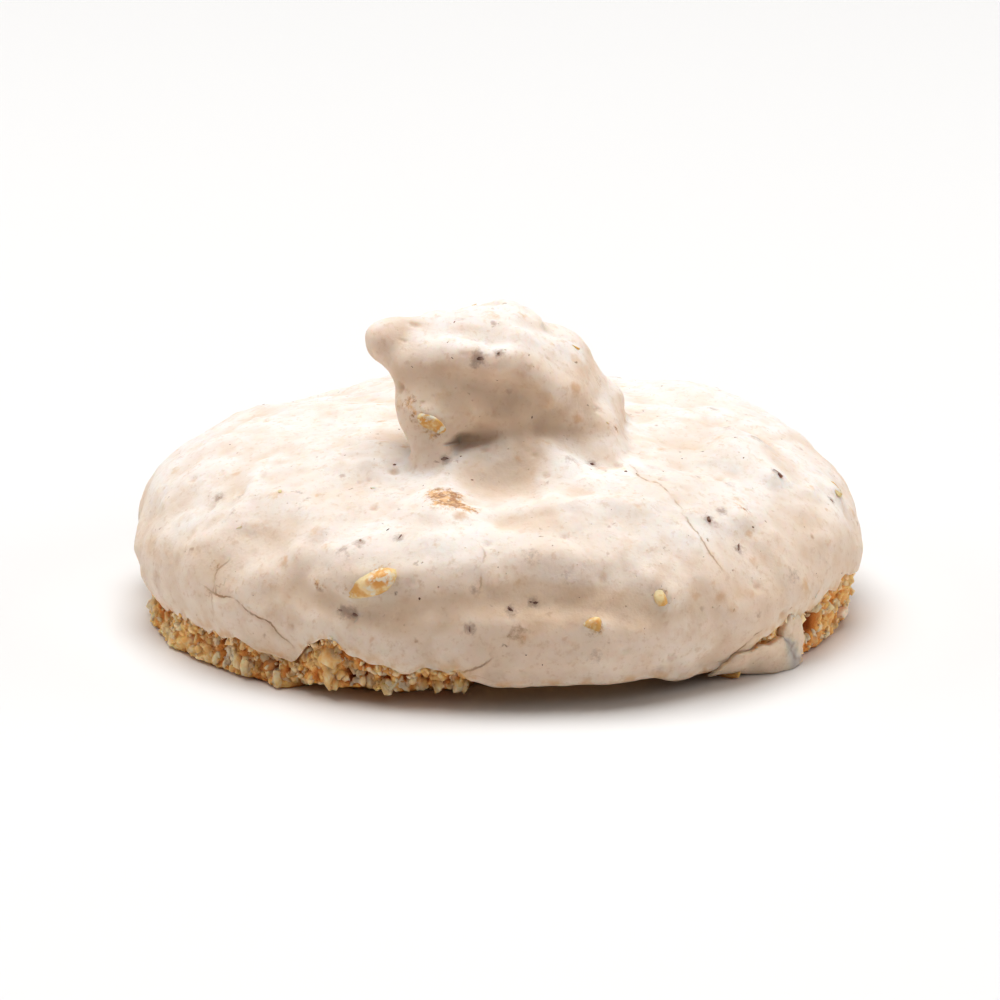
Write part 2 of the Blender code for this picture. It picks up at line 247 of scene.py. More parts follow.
# %% [markdown]
# ## From the field to a skin
# A field has no surface yet. Marching cubes would give one, but with triangles that follow no
# direction. Rays sent out from a spine give a neat grid instead: rings from the tip of the peak
# down to the widest line, and columns round the cookie. The spine bends with the peak's neck, so
# that rays reach under its overhang.

# %% Rays from a bent spine
RAY_STEP = 0.75
HALVINGS = 12


def spine_at(station):
    """Start, elevation, lean and spread at a station, counted along the spine's list."""
    stations = np.arange(len(SPINE))
    table = np.array([(*row[0], *row[1:]) for row in SPINE])
    values = [np.interp(station, stations, column) for column in table.T]
    return np.stack(values[:3], axis=-1), np.radians(values[3]), np.radians(values[4]), values[5]


def skin(station, angle):
    """The points where the rays leave the batter. Each ray is turned by angle round the spine
    and raised by the elevation there. It is walked outwards in even steps, and the step in
    which it leaves is then halved until the place is exact."""
    start, elevation, lean, spread = spine_at(station)
    along_shoulder = spread * np.cos(angle - SHOULDER_TURN)
    start[..., 0] += along_shoulder * math.cos(SHOULDER_TURN)
    start[..., 1] += along_shoulder * math.sin(SHOULDER_TURN)
    flat, up = np.cos(elevation), np.sin(elevation)
    across = flat * np.cos(angle)
    direction = np.stack(
        [
            across * np.cos(lean) - up * np.sin(lean),
            flat * np.sin(angle),
            across * np.sin(lean) + up * np.cos(lean),
        ],
        axis=-1,
    )
    step = RAY_STEP
    reach = np.zeros(angle.shape)
    walking = np.ones(angle.shape, bool)
    while walking.any():
        ahead = start[walking] + direction[walking] * (reach[walking] + step)[:, None]
        inside = batter_field(ahead) < 0.0
        reach[walking] += np.where(inside, step, 0.0)
        walking[walking] = inside
    for _ in range(HALVINGS):
        step /= 2.0
        inside = batter_field(start + direction * (reach + step)[..., None]) < 0.0
        reach = np.where(inside, reach + step, reach)
    return start + direction * reach[..., None]


def even_stations(count):
    """Stations for rings that lie about evenly spaced over the skin, tip first."""
    trial = np.linspace(0.0, len(SPINE) - 1.0, 361)
    angle = np.linspace(0.0, 2 * math.pi, 24, endpoint=False)
    places = skin(*np.meshgrid(trial, angle, indexing="ij"))
    spacing = np.linalg.norm(np.diff(places, axis=0), axis=-1).mean(axis=1)
    travelled = np.concatenate([[0.0], np.cumsum(spacing)])
    return np.interp(np.linspace(0.0, travelled[-1], count + 1), travelled, trial)


# %% [markdown]
# ## Where the crust tears
# The crust ends a little over the table. Where it tore, its edge lies higher and is ragged: big
# tears first, each a stretch with a rise, then bites and splinters of a few millimetres. The edge
# is one height for each angle round the cookie, which keeps the crust a plain grid.

# %% The torn edge
TEARS = (
    (186, 14, 10, -0.8), (210, 34, 20, 0.5), (229.5, 7, 5, -0.9), (241.5, 8, 6.5, 3),
    (257, 12.5, 4, 0.6), (304, 9, 6, -1.1), (321, 10, 5, 1.8), (346, 20, 8, 2.3), (52, 50, 27, 0.9),
    (74, 12, 7, 1.4), (116, 48, 26, 1.3),
)
SMOOTH_STRETCHES = ((288, 25, 4), (10, 15, 14), (160, 16, 15))
TEAR_BITES = ((5.5, 0.45), (2.4, 0.45), (1.1, 0.34))


def stretch(angle, middle, half_width, ramp):
    """1 on a stretch round the cookie and 0 off it. The stretch has a middle, a half width and
    the width of its ramp, in degrees."""
    away = np.abs((np.degrees(angle) - middle + 180.0) % 360.0 - 180.0)
    return smooth_step(half_width, half_width - ramp, away)


def raised(value, angle, places):
    """A value that is raised on stretches round the cookie, each with a rise of its own."""
    for *place, rise in places:
        value = value + rise * stretch(angle, *place)
    return value


def torn_share(angle):
    """1 where the crust tore, 0 on the smooth stretches, where it still reaches down to the
    table."""
    return np.prod([1.0 - stretch(angle, *place) for place in SMOOTH_STRETCHES], axis=0)


def around_axis(radius, height, angle):
    """Points at a radius and a height round the cookie's axis."""
    radius, height, angle = np.broadcast_arrays(radius, height, angle)
    return np.stack([radius * np.cos(angle), radius * np.sin(angle), height], axis=-1)


def ragged_edge(angle):
    """How high over the table the crust ends, all round, with its bites and splinters: noises
    of three sizes, laid round a circle as wide as the cookie and squared off a little, so that
    pieces seem to have broken out."""
    circle = around_axis(WIDTH / 2, 0.0, angle)
    ragged = sum(
        size * np.tanh(1.8 * lattice_noise(circle, cell, 20 + index))
        for index, (cell, size) in enumerate(TEAR_BITES)
    )
    return raised(SMOOTH_EDGE_HEIGHT, angle, TEARS) + torn_share(angle) * ragged


def side_radius(height, angle):
    """The plain mound's radius below its widest line."""
    drop = (WIDEST_HEIGHT - height) / WIDEST_HEIGHT
    tuck = outline_radius(angle) - GROUND_WIDTH / 2
    return GROUND_WIDTH / 2 + tuck * np.sqrt(np.clip(1.0 - drop**2, 0.0, 1.0))


edge_all_round = ragged_edge(np.linspace(0.0, 2 * math.pi, 720, endpoint=False))
print("crust's edge from", edge_all_round.min().round(2), "to", edge_all_round.max().round(2), "mm")

# %% [markdown]
# ## From points to meshes
# Each piece is a stack of closed rings of points. One function turns such a stack into a closed
# shell: quads between the rings, and a single point at each end. Its volume tells which way the
# faces point, so that every shell is turned outwards.

# %% Shells from rings of points
def shell_faces(rings, columns):
    """Faces of one closed shell. Point 0 is the first pole, then rings - 2 rings of columns
    points, then the last pole."""
    first = 1 + np.arange(columns)
    after = 1 + (np.arange(columns) + 1) % columns
    start = np.zeros(columns, int)
    top = np.stack([start, first, after], axis=-1)
    offsets = columns * np.arange(rings - 3)[:, None]
    across = [first, first + columns, after + columns, after]
    quads = np.stack([corner + offsets for corner in across], axis=-1)
    last_ring = columns * (rings - 3)
    last_pole = start + 1 + columns * (rings - 2)
    bottom = np.stack([first + last_ring, last_pole, after + last_ring], axis=-1)
    return top, quads.reshape(-1, 4), bottom


def make_shells(name, grid, attributes=()):
    """A mesh object from an array of shells x rings x columns x 3, in millimetres. The first
    and last ring of each shell are drawn together into a point. An attribute is a value for
    each point of the same array."""
    shells, rings, columns = grid.shape[:3]

    def packed(values):
        ends = values[:, [0, -1]].mean(axis=2)
        middle = values[:, 1:-1].reshape(shells, (rings - 2) * columns, *values.shape[3:])
        return np.concatenate([ends[:, :1], middle, ends[:, 1:]], axis=1)

    points = packed(grid)
    top, quads, bottom = shell_faces(rings, columns)
    corners = [points[:, part] for part in (top, quads[:, :3], quads[:, [0, 2, 3]], bottom)]
    volume = sum(
        np.einsum("sfi,sfi->", c[:, :, 0], np.cross(c[:, :, 1], c[:, :, 2])) for c in corners
    ) / 6.0
    shift = points.shape[1] * np.arange(shells)[:, None, None]
    faces = [(part + shift).reshape(-1, part.shape[-1]) for part in (top, quads, bottom)]
    if volume < 0.0:
        faces = [part[:, ::-1] for part in faces]
    mesh = bpy.data.meshes.new(name)
    places = (points.reshape(-1, 3) * MM).tolist()
    mesh.from_pydata(places, [], [face for part in faces for face in part.tolist()])
    mesh.shade_smooth()
    for attribute, values in attributes:
        layer = mesh.attributes.new(attribute, "FLOAT", "POINT")
        layer.data.foreach_set("value", packed(values).astype(np.float32).ravel())
    piece = bpy.data.objects.new(name, mesh)
    bpy.context.scene.collection.objects.link(piece)
    triangles = sum(len(part) * (part.shape[1] - 2) for part in faces)
    print(f"{name}: {shells} shells, {triangles} triangles, {abs(volume) / 1000.0:.2f} cubic cm")
    return piece


def grid_normals(points):
    """Outward unit normals of rings of points: the cross product of the steps to the
    neighbours along a column and round a ring."""
    down = np.gradient(points, axis=0)
    around = np.roll(points, -1, axis=1) - np.roll(points, 1, axis=1)
    normals = np.cross(down, around)
    length = np.linalg.norm(normals, axis=-1, keepdims=True)
    return normals / np.maximum(length, 1e-9)


# %% [markdown]
# ## The bare crust
# The crust's rings run from the tip of the peak to the widest line, and from there down the side
# to the torn edge. The columns lie closer together at the front, where the cookie is looked at,
# than at the back, so that the same number of faces shows more.

# %% The bare crust's grid
DETAIL = 1.0
CRUST_COLUMNS = int(430 * DETAIL)
UPPER_RINGS = int(178 * DETAIL)
SIDE_RINGS = int(28 * DETAIL)
FRONT_CLOSENESS = 0.26


def column_angles(count):
    """Angles round the cookie, closer together at the front: a turn minus its cosine's share."""
    turn = np.linspace(0.0, 2 * math.pi, count, endpoint=False)
    return turn - FRONT_CLOSENESS * np.cos(turn)


crust_angle = column_angles(CRUST_COLUMNS)
stations, upper_angle = np.meshgrid(even_stations(UPPER_RINGS), crust_angle, indexing="ij")
upper = skin(stations, upper_angle)
drop = np.linspace(0.0, 1.0, SIDE_RINGS + 1)[1:, None]
side_height = WIDEST_HEIGHT + drop * (ragged_edge(crust_angle) - WIDEST_HEIGHT)
side_ratio = side_radius(side_height, crust_angle) / side_radius(WIDEST_HEIGHT, crust_angle)
side = upper[-1] * side_ratio[..., None]
side[..., 2] = side_height
bare_crust = np.concatenate([upper, side])
crust_normal = grid_normals(bare_crust)
outwards = np.einsum("rci,rci->rc", crust_normal, bare_crust - np.array([0.0, 0.0, WIDEST_HEIGHT]))
if np.median(outwards) < 0.0:
    crust_normal = -crust_normal
crust_normal[0] = crust_normal[1].mean(axis=0) / np.linalg.norm(crust_normal[1].mean(axis=0))
print("bare crust:", bare_crust.shape[0], "rings of", bare_crust.shape[1], "points")

# %% [markdown]
# ## Cracks
# A drying crust shrinks and cracks. Hairline cracks start at the torn edge and wander up the
# side. They are thinner than the grid's faces, so each point only stores how far it is from the
# crack, left of it or right of it. The material then draws a line where that distance is zero,
# which falls between the points, and dents the surface there. Each crack below has a strength
# and the places that it runs through.

# %% Cracks in the crust
CRACKS = (
    (1, ((-29.8, -23.4, 9), (-28.6, -24.9, 8.9), (-26.8, -26.9, 8.6), (-24.5, -29, 8),
           (-22.8, -30, 6.6), (-21.4, -30.4, 5.5), (-20.8, -30.4, 4))),
    (0.5, ((-28.9, -24.2, 6.4), (-29, -24.5, 8.8), (-28.4, -24.2, 10.6), (-26.9, -23.6, 12.6))),
    (0.8, ((-4.6, -36, 3.6), (-2.7, -36.6, 4.6), (-0.5, -37.2, 5.9))),
    (0.7, ((12.6, -14.5, 20.3), (14.5, -17.5, 19.4), (16.8, -20.6, 18.2), (18.4, -23.4, 16.8))),
    (0.7, ((18.2, -24.2, 16.6), (20.3, -26.6, 14.6), (22.6, -28.4, 12.2))),
    (0.9, ((22, -27.2, 2.4), (23.2, -27.6, 4), (24.6, -27, 5.2), (26.3, -26, 5.8))),
    (0.5, ((-2, -31.9, 15.6), (-1.9, -33.8, 13.8), (-2.2, -35.2, 11.8))),
    (0.8, ((-36, 5, 4), (-36.5, 7, 8), (-34.5, 10, 12), (-32, 9, 14.5))),
    (0.9, ((24, 28, 4), (25.5, 26.5, 8.5), (22, 25, 14), (21, 20, 17))),
    (0.8, ((-8, 36, 4), (-9.5, 35, 9), (-6, 32, 14))),
    (0.7, ((-26, 25, 5), (-27, 24, 9), (-23, 24, 12.5))),
    (0.7, ((36, 8, 4), (35.5, 10, 8), (33, 13, 12))),
)
CRACK_REACH = 3.0
CRACK_POINTS = 14
WANDER_CELL = 2.2


def crack_distance(points, normals):
    """For every point, its signed distance to the nearest crack and how open that crack is
    beside it. A crack is a smoothed, slightly wandering line through its places. The sign is
    the side: the normal crossed with the crack's direction. A crack closes towards its end."""
    nearest = np.full(points.shape[:-1], CRACK_REACH)
    opening = np.zeros(points.shape[:-1])
    for index, (strength, places) in enumerate(CRACKS):
        places = np.array(places)
        share = np.linspace(0.0, 1.0, CRACK_POINTS * len(places))
        knots = np.linspace(0.0, 1.0, len(places))
        line = np.stack([np.interp(share, knots, places[:, axis]) for axis in range(3)], axis=-1)
        wander = [lattice_noise(line + 9.0 * axis, WANDER_CELL, 40 + index) for axis in range(3)]
        line = line + 0.55 * np.stack(wander, axis=-1) + 0.2 * np.stack(wander[::-1], axis=-1)
        low, high = line.min(axis=0) - CRACK_REACH, line.max(axis=0) + CRACK_REACH
        close = np.all((points > low) & (points < high), axis=-1)
        spot, normal = points[close], normals[close]
        best, side, width = np.abs(nearest[close]), np.sign(nearest[close]), opening[close]
        for step in range(len(line) - 1):
            along = line[step + 1] - line[step]
            share_on = np.clip((spot - line[step]) @ along / (along @ along), 0.0, 1.0)
            away = spot - line[step] - share_on[:, None] * along
            away = away - np.einsum("pi,pi->p", away, normal)[:, None] * normal
            gap = np.linalg.norm(away, axis=-1)
            turned = np.sign(np.einsum("pi,pi->p", np.cross(normal, along), away))
            closer = gap < best
            best = np.where(closer, gap, best)
            side = np.where(closer, turned, side)
            along_share = step / (len(line) - 1)
            taper = strength * min(1.0, 0.3 + 4.0 * along_share, 4.0 * (1.0 - along_share))
            width = np.where(closer, taper * smooth_step(CRACK_REACH, 1.0, gap), width)
        nearest[close] = best * np.where(side == 0.0, 1.0, side)
        opening[close] = width
    return nearest, opening


crack_gap, crack_opening = crack_distance(bare_crust, crust_normal)
print(len(CRACKS), "cracks, beside", int((np.abs(crack_gap) < 1.0).sum()), "points")

# %% [markdown]
# ## Nuts
# Chopped nuts lie in the batter. Most hide under the crust and only lift it, some show a corner
# through it. The few large ones are named, each with its place, length, width and direction, and
# the others are drawn by lot over the whole skin, by area, so that they lie as thick on the peak
# as on the mound.

# %% Where the nuts lie
NAMED_NUTS = (
    ((-12.7, -33.5, 12.9), 4.3, 3.5, (4.9, -0.3, 2.4)), ((9.2, -36.1, 9), 2.9, 2.4, (1, 0, 0.4)),
    ((15.8, -32.8, 11.3), 2.2, 1.8, (1, 0, 0.8)), ((-7, -15.7, 24.2), 4.4, 1.7, (1, 0, -0.55)),
    ((34, -6, 13.4), 2, 1.4, (0.2, 1, 0)),
)
HIDDEN_NUTS = 420
SHOWING_NUTS = 14
lot = np.random.default_rng(11)


def point_areas(points):
    """The area that each point of the grid stands for: its step down times its step round."""
    down = np.linalg.norm(np.gradient(points, axis=0), axis=-1)
    around = np.linalg.norm(np.roll(points, -1, axis=1) - points, axis=-1)
    return down * around


def drawn_places(count, keep):
    """Row and column of count points of the crust, drawn by area from where keep is true."""
    weight = (point_areas(bare_crust) * keep).ravel()
    chosen = lot.choice(weight.size, size=count, p=weight / weight.sum(), replace=False)
    return np.unravel_index(chosen, bare_crust.shape[:2])


def nearest_places(places):
    """Row and column of the crust's point nearest to each place."""
    spots = [np.argmin(np.linalg.norm(bare_crust - np.array(place), axis=-1)) for place in places]
    return np.unravel_index(np.array(spots), bare_crust.shape[:2])


not_at_edge = np.ones(bare_crust.shape[:2], bool)
not_at_edge[-int(8 * DETAIL):] = False
not_at_edge[:2] = False
nut_row, nut_column = nearest_places([nut[0] for nut in NAMED_NUTS])
more_row, more_column = drawn_places(SHOWING_NUTS, not_at_edge)
nut_row, nut_column = np.concatenate([nut_row, more_row]), np.concatenate([nut_column, more_column])
nut_length = np.concatenate([[nut[1] for nut in NAMED_NUTS], lot.uniform(0.6, 1.3, SHOWING_NUTS)])
nut_width = np.concatenate([[nut[2] for nut in NAMED_NUTS], lot.uniform(0.4, 0.8, SHOWING_NUTS)])
hidden_row, hidden_column = drawn_places(HIDDEN_NUTS, not_at_edge)
hidden_size = lot.uniform(0.7, 2.2, HIDDEN_NUTS)
print(len(nut_length), "nuts show and", HIDDEN_NUTS, "lie under the crust")

# %% [markdown]
# ## The crust's relief
# Over the bare skin goes what the drying did: shallow wrinkles, lumps over hidden nuts, small
# burst bubbles and dents along the cracks. The larger rises and dents have places of their own:
# the ledge along the front, the bumps of big nuts and the rim of the peak. Each is a height in
# millimetres along the normal. Heights simply add up, so each one can be set on its own.

# %% Relief of the crust
SKIN_INSET = 0.15
CRUST_BUBBLES = ((3.0, 3, 0.30, 0.55, 0.30), (1.7, 4, 0.25, 0.30, 0.16))
LEDGE_LEFT = (226.0, 243.0)
LEDGE_RIGHT = (306.0, 284.0)
LEDGE_INNER = (27.0, 31.0)
FRONT_LEDGE = ((14.6, 1.5, 0.75), (11.2, 1.7, -0.95), (6.5, 2.0, 0.25))
NUT_MOUNDS = (
    ((-15, -32.9, 12), 2.3, 0.4), ((-13, -33.4, 13), 2.3, 0.45), ((-11.2, -33.4, 13.9), 2, 0.3),
    ((-18, -31, 11.7), 2, 0.45), ((10, -36, 9), 1.8, 0.45), ((16.6, -32.6, 10.8), 1.7, 0.4),
    ((34, -6, 13.4), 2.4, 0.5), ((24, -21.5, 16), 1.8, 0.45), ((20.5, -23.5, 16.5), 1.8, 0.4),
    ((28, -12, 16.8), 2.2, 0.4), ((-4.6, -30.5, 15.4), 2, 0.35), ((-23.5, -27, 11.6), 2.2, 0.4),
    ((5.2, -31.5, 15), 2.2, 0.35), ((1.2, -27.5, 17), 2, -0.4), ((4.4, -27.5, 16.9), 2, -0.4),
    ((-0.6, -34.3, 12.8), 1.6, 0.45), ((-6.9, -36, 9.5), 1.1, 0.35), ((-2.5, -18.6, 18.4), 3, -0.45),
    ((1.6, -18.2, 18.6), 3, -0.45),
)
PEAK_RIM = (
    ((-7.2, -13.4, 30.8), 2.2, 0.4), ((-3.4, -14.6, 31.2), 2.2, 0.55), ((0.4, -14.7, 30.6), 2.2, 0.55),
    ((3.4, -14.2, 28.6), 2, 0.55), ((5.8, -12.8, 26.4), 2, 0.4), ((-9.4, -14, 27.4), 2.4, -0.6),
    ((-6.2, -15.4, 27.6), 2.8, -0.9), ((-2.4, -15.9, 28), 2.8, -1.05), ((1.4, -15.5, 27.2), 2.8, -1.05),
    ((4.6, -14.2, 25), 2.6, -0.9),
)


def lumps_over(row, column, size, rise):
    """Soft bumps over buried nuts: a bell curve round each, as wide as the nut."""
    height = np.zeros(bare_crust.shape[:2])
    for r, c, reach, top in zip(row, column, size, np.broadcast_to(rise, np.shape(size))):
        centre = bare_crust[r, c]
        close = np.all(np.abs(bare_crust - centre) < 2.5 * reach, axis=-1)
        away = np.sum((bare_crust[close] - centre) ** 2, axis=-1)
        height[close] += top * np.exp(-away / (2.0 * (0.55 * reach) ** 2))
    return height


def lumps_at(places):
    """Soft bumps at named places, each with its reach and its rise."""
    return sum(lumps_over(*nearest_places([place]), [reach], rise) for place, reach, rise in places)


def bubble_pits(points, kinds):
    """Burst bubbles: round pits of their own sizes at a share of the scattered seeds. Each kind
    has its cell, seed, share, radius and depth."""
    height = 0.0
    for cell, seed, share, radius, depth in kinds:
        gap, tag = nearest_seed(points, cell, seed)
        size = radius * (0.5 + tag)
        height = height - depth * smooth_step(1.0, 0.15, gap / size) * (tag > 1.0 - share)
    return height


bent = warped(bare_crust, 1.2, 5.0, 60)
wrinkles = 0.20 * lattice_noise(bent, 3.6, 5) + 0.11 * lattice_noise(bent, 1.9, 6)
grain = 0.05 * lattice_noise(bent, 0.95, 7)
on_peak = smooth_step(1.5, 0.0, peak_field(bare_crust)) * smooth_step(21.0, 24.0, bare_crust[..., 2])
peak_knobs = 0.16 * lattice_noise(bent, 2.3, 8) * on_peak
hidden_rise = lot.uniform(0.05, 0.26, HIDDEN_NUTS) * hidden_size / 1.4
hidden_lumps = lumps_over(hidden_row, hidden_column, hidden_size, hidden_rise)
nut_collars = lumps_over(nut_row, nut_column, 1.1 * nut_length, 0.16 * nut_width)
pits = bubble_pits(bare_crust, CRUST_BUBBLES)
degrees = np.degrees(np.arctan2(bare_crust[..., 1], bare_crust[..., 0])) % 360.0
at_front = smooth_step(*LEDGE_LEFT, degrees) * smooth_step(*LEDGE_RIGHT, degrees)
ledge_level = bare_crust[..., 2] + 1.5 * lattice_noise(bare_crust * np.array([1.0, 1.0, 0.3]), 9.0, 61)
ledge = sum(
    rise * np.exp(-(((ledge_level - height) / reach) ** 2)) for height, reach, rise in FRONT_LEDGE
)
ledge = ledge * (0.85 + 0.55 * lattice_noise(bare_crust, 7.0, 62)) * at_front
ledge = ledge * smooth_step(*LEDGE_INNER, np.hypot(bare_crust[..., 0], bare_crust[..., 1]))
nut_mounds = lumps_at(NUT_MOUNDS + PEAK_RIM)
crack_dent = -0.14 * crack_opening * np.exp(-((crack_gap / 0.45) ** 2))
relief = ledge + nut_mounds + wrinkles + grain + peak_knobs + hidden_lumps + nut_collars + pits
relief = relief + crack_dent - SKIN_INSET
relief[0] = relief[1].mean()
crust_skin = bare_crust + crust_normal * relief[..., None]
print("relief from", relief.min().round(2), "to", relief.max().round(2), "mm")

# %% Stains over hidden nuts
GOLD_PLACES = (
    ((-11.4, -33.3, 14), 1.4, 0.9), ((-15.4, -32.8, 12), 1.1, 0.4), ((-17.9, -31.1, 11.6), 1.3, 0.6),
    ((9.4, -36, 9), 1.4, 0.8), ((15.8, -32.8, 11.3), 1.2, 0.7), ((-6.8, -23, 19.1), 1.7, 0.9),
    ((-4.9, -23.2, 19.1), 1.7, 1), ((-6.2, -25, 18.4), 1.6, 0.8), ((-4.2, -25.2, 18.3), 1.6, 1),
    ((-2.8, -26, 17.8), 1.2, 0.7), ((-9.2, -14.9, 26.2), 1.5, 0.55), ((-8, -15.6, 24.9), 1.7, 0.6),
    ((-6.8, -16, 23.7), 1.5, 0.7), ((-28.6, -22.9, 10.8), 1.1, 0.6), ((24.6, -20.5, 16.4), 1.3, 0.6),
    ((9.8, -6.5, 25), 1.3, 0.5), ((11.6, -11, 21.8), 1.2, 0.5),
)
NAMED_SKINS = (
    (-13.9, -29.6, 15), (-10.1, -29.6, 15.9), (-15.9, -33.6, 9.6), (-15, -34.2, 9.7),
    (3.2, -35.8, 11.7), (0.9, -36.3, 11), (20.9, -23.5, 15.9), (22.2, -21.6, 16.4), (24.1, -24.9, 13.8),
    (34.4, -5, 13.4), (33.6, -8.5, 13.2), (27.9, -11.8, 16.6), (-2.5, -14.4, 30.2), (0.1, -14.4, 30),
    (9.4, -15.9, 20.2), (-5.6, -16.6, 20.4), (-28.2, -14, 14.9), (-3, -36.6, 8.8),
)
skin_row, skin_column = nearest_places(NAMED_SKINS)
kind = lot.uniform(0.0, 1.0, HIDDEN_NUTS)


def buried_stain(stained, strongest):
    """Stains over some of the buried nuts, each of its own strength."""
    strength = np.where(stained, lot.uniform(0.3, strongest, HIDDEN_NUTS), 0.0)
    return lumps_over(hidden_row, hidden_column, 0.8 * hidden_size, strength)


tan_stain = buried_stain(kind < 0.40, 1.0)
grey_stain = buried_stain(kind > 0.82, 0.9)
gold_stain = np.minimum(lumps_at(GOLD_PLACES), 1.0)
grey_stain += lumps_over(skin_row, skin_column, np.full(len(NAMED_SKINS), 1.0), 1.1)
print("stained points:", (tan_stain > 0.3).sum(), "tan and", (grey_stain > 0.3).sum(), "grey")

# %% [markdown]
# ## The crust as a closed shell
# The crust is a thin, brittle sheet that rolls in under its own torn edge. Below the last ring of
# the skin, a half circle turns the edge under, and a few more rings go up inside the cookie and
# close it, where nothing shows.

# %% The crust
LIP_RADIUS = 0.28
SMOOTH_ROLL = 1.35
LIP_RINGS = 8
LIP_FLATNESS = 0.8
INNER_RISE = 1.6
INNER_WALL = 3.4
CLOSING_HEIGHT = 6.0
FRONT_SHADE = 0.45


def turned_under(edge, angle):
    """Rings that turn the crust's edge under: a half circle in the plane through the cookie's
    axis, then a wall up inside, then the middle."""
    radius, height = np.hypot(edge[:, 0], edge[:, 1]), edge[:, 2]
    turn = np.linspace(0.0, math.pi, LIP_RINGS + 1)[1:, None]
    lip_radius = LIP_RADIUS * (0.8 + 0.35 * lattice_noise(edge, 1.6, 9))
    lip_radius = lip_radius + SMOOTH_ROLL * (1.0 - torn_share(angle))
    roll_radius = radius - lip_radius * (1.0 - np.cos(turn))
    roll_height = height - lip_radius * np.sin(turn) * LIP_FLATNESS
    inner_radius = np.stack([radius - INNER_WALL, radius * 0.5, radius * 0.0])
    closing = np.full_like(height, CLOSING_HEIGHT)
    inner_height = np.stack([height + INNER_RISE, closing, closing])
    rings_radius = np.concatenate([roll_radius, inner_radius])
    rings_height = np.concatenate([roll_height, inner_height])
    return around_axis(rings_radius, rings_height, angle)


edge_angle = np.unwrap(np.arctan2(crust_skin[-1, :, 1], crust_skin[-1, :, 0]))
crust_grid = np.concatenate([crust_skin, turned_under(crust_skin[-1], edge_angle)])
extra_rings = crust_grid.shape[0] - crust_skin.shape[0]


def continued(values, fill):
    """A value for each point of the skin, continued with one value over the hidden rings."""
    return np.concatenate([values, np.full((extra_rings, values.shape[1]), fill)])[None]


from_edge = bare_crust[..., 2] - bare_crust[-1, :, 2]
edge_nearness = smooth_step(1.6, 0.0, from_edge) * torn_share(crust_angle)
edge_nearness = edge_nearness * (bare_crust[..., 2] < WIDEST_HEIGHT)
# How steep each point is, and more where it faces the front: the crust's material paints shade there,
# darker and warmer.
shade_side = 1.0 - np.clip(crust_normal[..., 2], -0.3, 1.0)
shade_side = shade_side + FRONT_SHADE * np.maximum(-crust_normal[..., 1], 0.0)
crust_values = (
    ("crack_gap", crack_gap, CRACK_REACH),
    ("crack_opening", crack_opening, 0.0),
    ("relief", relief, 0.0),
    ("edge_nearness", edge_nearness, 1.0),
    ("shade_side", shade_side, 1.0),
    ("tan_stain", tan_stain, 0.0),
    ("grey_stain", grey_stain, 0.0),
    ("gold_stain", gold_stain, 0.0),
)
crust = make_shells(
    "meringue_crust",
    crust_grid[None],
    [(name, continued(values, fill)) for name, values, fill in crust_values],
)

# %% [markdown]
# ## The crumbly foot
# Where the crust tore, the inside pushed out and dried into a rough, golden sponge. It is a wall
# from under the crust's edge down to the table, with grains and holes of several sizes. Grains
# come from the distance to scattered seeds, and the same heights are stored so that the material
# can paint the hollows darker than the knobs, as painted shade. Along the front the wall stands
# back, so that a dark gap shows under the crust, and a few deeper hollows have places of their
# own: an angle in degrees, a height, a radius and a depth.

# %% The foot
FOOT_COLUMNS = int(1240 * DETAIL)
FOOT_WALL_RINGS = int(58 * DETAIL)
FOOT_HIDDEN = 1.3
FOOT_INSET = 0.4
SHADOW_GAP = 2.2
MEAN_CRUMB = 0.60
FOOT_BUBBLES = ((2.3, 6, 0.3, 0.7, 0.7), (1.0, 7, 0.3, 0.3, 0.35))
CRUMB_GRAINS = ((0.42, 2.0, 1), (0.46, 1.1, 2), (0.34, 0.62, 5))
FOOT_SET_BACK = (
    (200, 16, 8, -0.6), (247, 5, 3, 0.6), (266, 18, 9, 2.6), (290, 24, 6, 3), (319.5, 8.5, 4, 1.3),
)
UNDERCUT = ((251, 19, 5, 3.6),)
UNDERCUT_HEIGHT = 1.5
FOOT_HOLLOWS = (
    (330.5, 3.5, 2, 1.9), (338.5, 4.4, 1, 0.9), (230.5, 1.7, 1, 0.9), (219, 3, 0.8, 0.7),
    (245.2, 2.6, 1, 1), (248.2, 2.9, 0.7, 0.8), (251, 2.9, 0.7, 0.8), (254, 3, 0.7, 0.8),
    (257.5, 3, 0.8, 0.9), (262.5, 3.2, 0.9, 0.9), (237.8, 5, 0.8, 0.7), (75, 4, 1.4, 1.3),
    (120, 3, 1.6, 1.4), (41, 3.2, 1.2, 1.1),
)


def radius_on_table(angle, inset):
    """The radius at which the foot meets the table, less an inset: wide where the crust tore,
    and set back under the crust along the front and where it is smooth."""
    torn = torn_share(angle)
    radius = (GROUND_WIDTH + torn * (FOOT_GROUND_WIDTH - GROUND_WIDTH)) / 2 - inset
    return radius - SHADOW_GAP * (1.0 - torn) - raised(0.0, angle, FOOT_SET_BACK)


foot_angle = column_angles(FOOT_COLUMNS)
edge_radius = np.hypot(*crust_skin[-1, :, :2].T)
crust_edge_radius = np.interp(foot_angle, edge_angle, edge_radius, period=2 * math.pi)
foot_torn = torn_share(foot_angle)
foot_top = ragged_edge(foot_angle) + FOOT_HIDDEN
wall_share = np.linspace(0.0, 1.0, FOOT_WALL_RINGS)[:, None]
foot_height = foot_top * (1.0 - wall_share)
ground_radius = radius_on_table(foot_angle, FOOT_INSET)
under_edge = crust_edge_radius - 0.15 - 0.5 * CRUST_STEP * foot_torn
under_edge = under_edge - 2.0 * SHADOW_GAP * (1.0 - foot_torn)
foot_radius = under_edge + (ground_radius - under_edge) * smooth_step(0.15, 1.0, wall_share)
wall = around_axis(foot_radius, foot_height, foot_angle)
bent_wall = warped(wall, 0.5, 1.8, 70)


